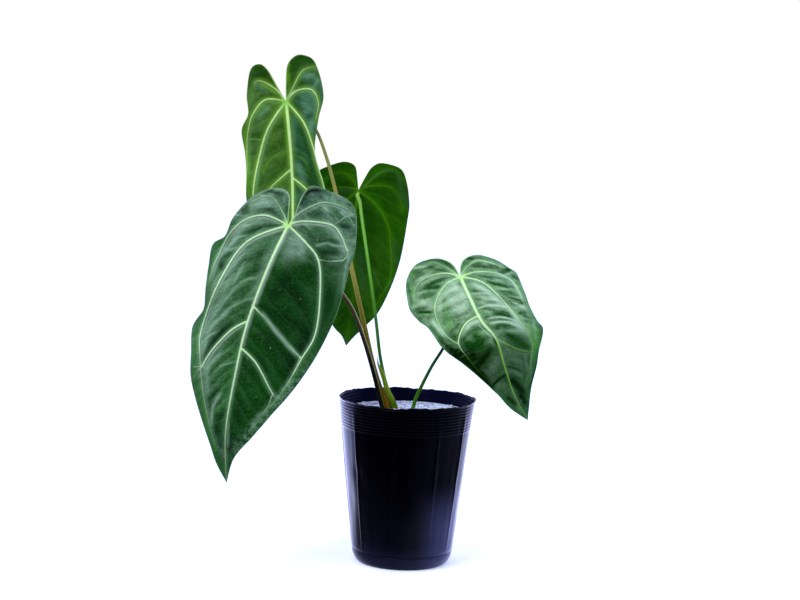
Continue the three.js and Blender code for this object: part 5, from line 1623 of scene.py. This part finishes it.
# Growing medium: the solid stays, and coarse pale granules cover its top.
medium = {
    "top": 168,
    "coverRadius": 67.5,
    "rings": 30,
    "segments": 72,
    # how far the granules' middles lie below the medium's top, and how much they rise inwards
    "sunk": 2.6,
    "crown": 0.8,
    "clearOfStems": 5.8,
    "spacing": 2.3,
    "density": 400000.0,
    "smallest": 1.0,
    "largest": 2.0,
    # reach of the dents in the granules, in metres, and their scale
    "dents": (0.003, 0.003, 0.002),
    "dentScale": 330.0,
    "seed": 7,
    "pale": paint(232, 240, 250),
    "shadow": paint(176, 190, 222),
    "soil": paint(112, 112, 118),
}


def granuleBed():
    # sheet that the granules are scattered on, with a share of 0 beside the stems
    segments = medium["segments"]
    radii = np.linspace(0, medium["coverRadius"], medium["rings"])[1:]
    flat = np.vstack([[[0.0, 0.0]], *(circle(radius, segments) for radius in radii)])
    x, y = flat.T
    # the top isn't quite even
    z = 0.9 * np.sin(0.41 * x + 1.3) * np.cos(0.37 * y) + 0.6 * np.sin(0.83 * y + 0.29 * x)
    z = medium["top"] + (z + 0.4 * np.cos(0.97 * x - 0.6 * y)) - medium["sunk"]
    z = z + medium["crown"] * (1 - np.hypot(x, y) / pot["meanRadius"])
    faces = [[0, 1 + k, 1 + (k + 1) % segments] for k in range(segments)]
    for start in range(1, len(flat) - segments, segments):
        for k in range(segments):
            a, b = start + k, start + (k + 1) % segments
            faces.append([a, a + segments, b + segments, b])
    ways = [petiolePath(name) for name in petioles]
    stems = np.array([[np.interp(medium["top"], way[:, 2], way[:, k]) for k in (0, 1)] for way in ways])
    away = np.min(np.linalg.norm(flat[:, None] - stems[None], axis=2), axis=1)
    made = meshObject("topGranules", np.column_stack([flat, z]), faces, granuleMaterial())
    addAttributes(made, {"cover": away > medium["clearOfStems"]})
    return made


def granuleTree(material):
    maker, given = newTree("scatteredGranules", ("Spacing", "Smallest", "Largest"), ("Seed",))
    share = maker.wire("GeometryNodeInputNamedAttribute", {"Name": "cover"}, data_type="FLOAT")
    scattered = maker.wire("GeometryNodeDistributePointsOnFaces", {
        "Mesh": given["Geometry"], "Distance Min": given["Spacing"], "Density Max": medium["density"],
        "Density Factor": share, "Seed": given["Seed"],
    }, "Points", distribute_method="POISSON")
    corners = {"Size": (1.0, 1.0, 1.0), "Vertices X": 3, "Vertices Y": 3, "Vertices Z": 3}
    ball = maker.vectors("NORMALIZE", maker.wire("GeometryNodeInputPosition"))
    cube = maker.wire("GeometryNodeMeshCube", corners)
    ball = maker.wire("GeometryNodeSetPosition", {"Geometry": cube, "Position": ball})
    turns = {0: (0.0, 0.0, 0.0), 1: (6.28, 6.28, 6.28), "Seed": given["Seed"]}
    turn = maker.wire("FunctionNodeRandomValue", turns, data_type="FLOAT_VECTOR")
    sizes = {2: given["Smallest"], 3: given["Largest"], "Seed": given["Seed"]}
    size = maker.wire("FunctionNodeRandomValue", sizes, 1, data_type="FLOAT")
    spread = {"Points": scattered, "Instance": ball, "Rotation": turn, "Scale": size}
    solid = maker.wire("GeometryNodeInstanceOnPoints", spread)
    solid = maker.wire("GeometryNodeRealizeInstances", {"Geometry": solid})
    where = maker.wire("GeometryNodeInputPosition")
    grain = {"Vector": where, "Scale": medium["dentScale"], "Detail": 1.0}
    push = maker.vectors("SUBTRACT", maker.wire("ShaderNodeTexNoise", grain, 1), (0.5, 0.5, 0.5))
    push = maker.vectors("MULTIPLY", push, medium["dents"])
    solid = maker.wire("GeometryNodeSetPosition", {"Geometry": solid, "Offset": push})
    return closeTree(maker, solid, material)


def granuleMaterial():
    maker = newMaterial("paleGranules")
    place = maker.place()
    pits = maker.cells(place, 1500.0)
    fine = maker.noise(place, 2200.0, 3.0)
    color = maker.layers(
        medium["pale"],
        (medium["shadow"], (maker.noise(place, 120.0).step(0.35, 0.75) * 0.7).limited()),
        (medium["shadow"], (1.0 - pits.step(0.1, 0.4)) * 0.35),
    )
    return closeMaterial(maker, color, 0.6 + 0.25 * fine, (pits + fine * 0.5, 0.6, 0.0004))


def mediumMaterial():
    maker = newMaterial("potMix")
    place = maker.place()
    grain = maker.cells(place, 260.0)
    fine = maker.noise(place, 1500.0)
    color = maker.layers(
        medium["soil"],
        (medium["shadow"], maker.noise(place, 90.0, 3.0).step(0.35, 0.65)),
        (medium["pale"], (1.0 - grain.step(0.2, 0.55)) * 0.7),
    )
    return closeMaterial(maker, color, 0.8 + 0.15 * fine, (grain + fine * 0.3, 0.8, 0.001))


def dressSolid(node, material):
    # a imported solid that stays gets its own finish
    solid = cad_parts[node]
    if not solid.material_slots:
        solid.data.materials.append(material)
    for slot in solid.material_slots:
        slot.material = material


granules = granuleBed()
runTree(granules, granuleTree(granules.data.materials[0]), {
    "Spacing": medium["spacing"] * mm, "Smallest": medium["smallest"] * mm,
    "Largest": medium["largest"] * mm, "Seed": medium["seed"],
})
dress(granules, None, "growing_medium")
dressSolid("growing_medium", mediumMaterial())
print("growing medium is covered")


# Crown and roots stay as the solid, inside the medium.
roots = {"bark": paint(122, 104, 66), "paleBark": paint(196, 182, 138), "moss": paint(96, 120, 60)}


def rootMaterial():
    maker = newMaterial("rootBark")
    ring = maker.noise(maker.place(1.0, 1.0, 3.0), 220.0, 3.0)
    fine = maker.noise(maker.place(), 1600.0)
    color = maker.layers(
        roots["bark"],
        (roots["paleBark"], ring.step(0.3, 0.7)),
        (roots["moss"], fine.step(0.6, 0.8) * 0.4),
    )
    return closeMaterial(maker, color, 0.6 + 0.25 * fine, (ring + fine * 0.4, 0.6, 0.0008))


dressSolid("crown_and_roots", rootMaterial())
print("crown and roots are dressed")
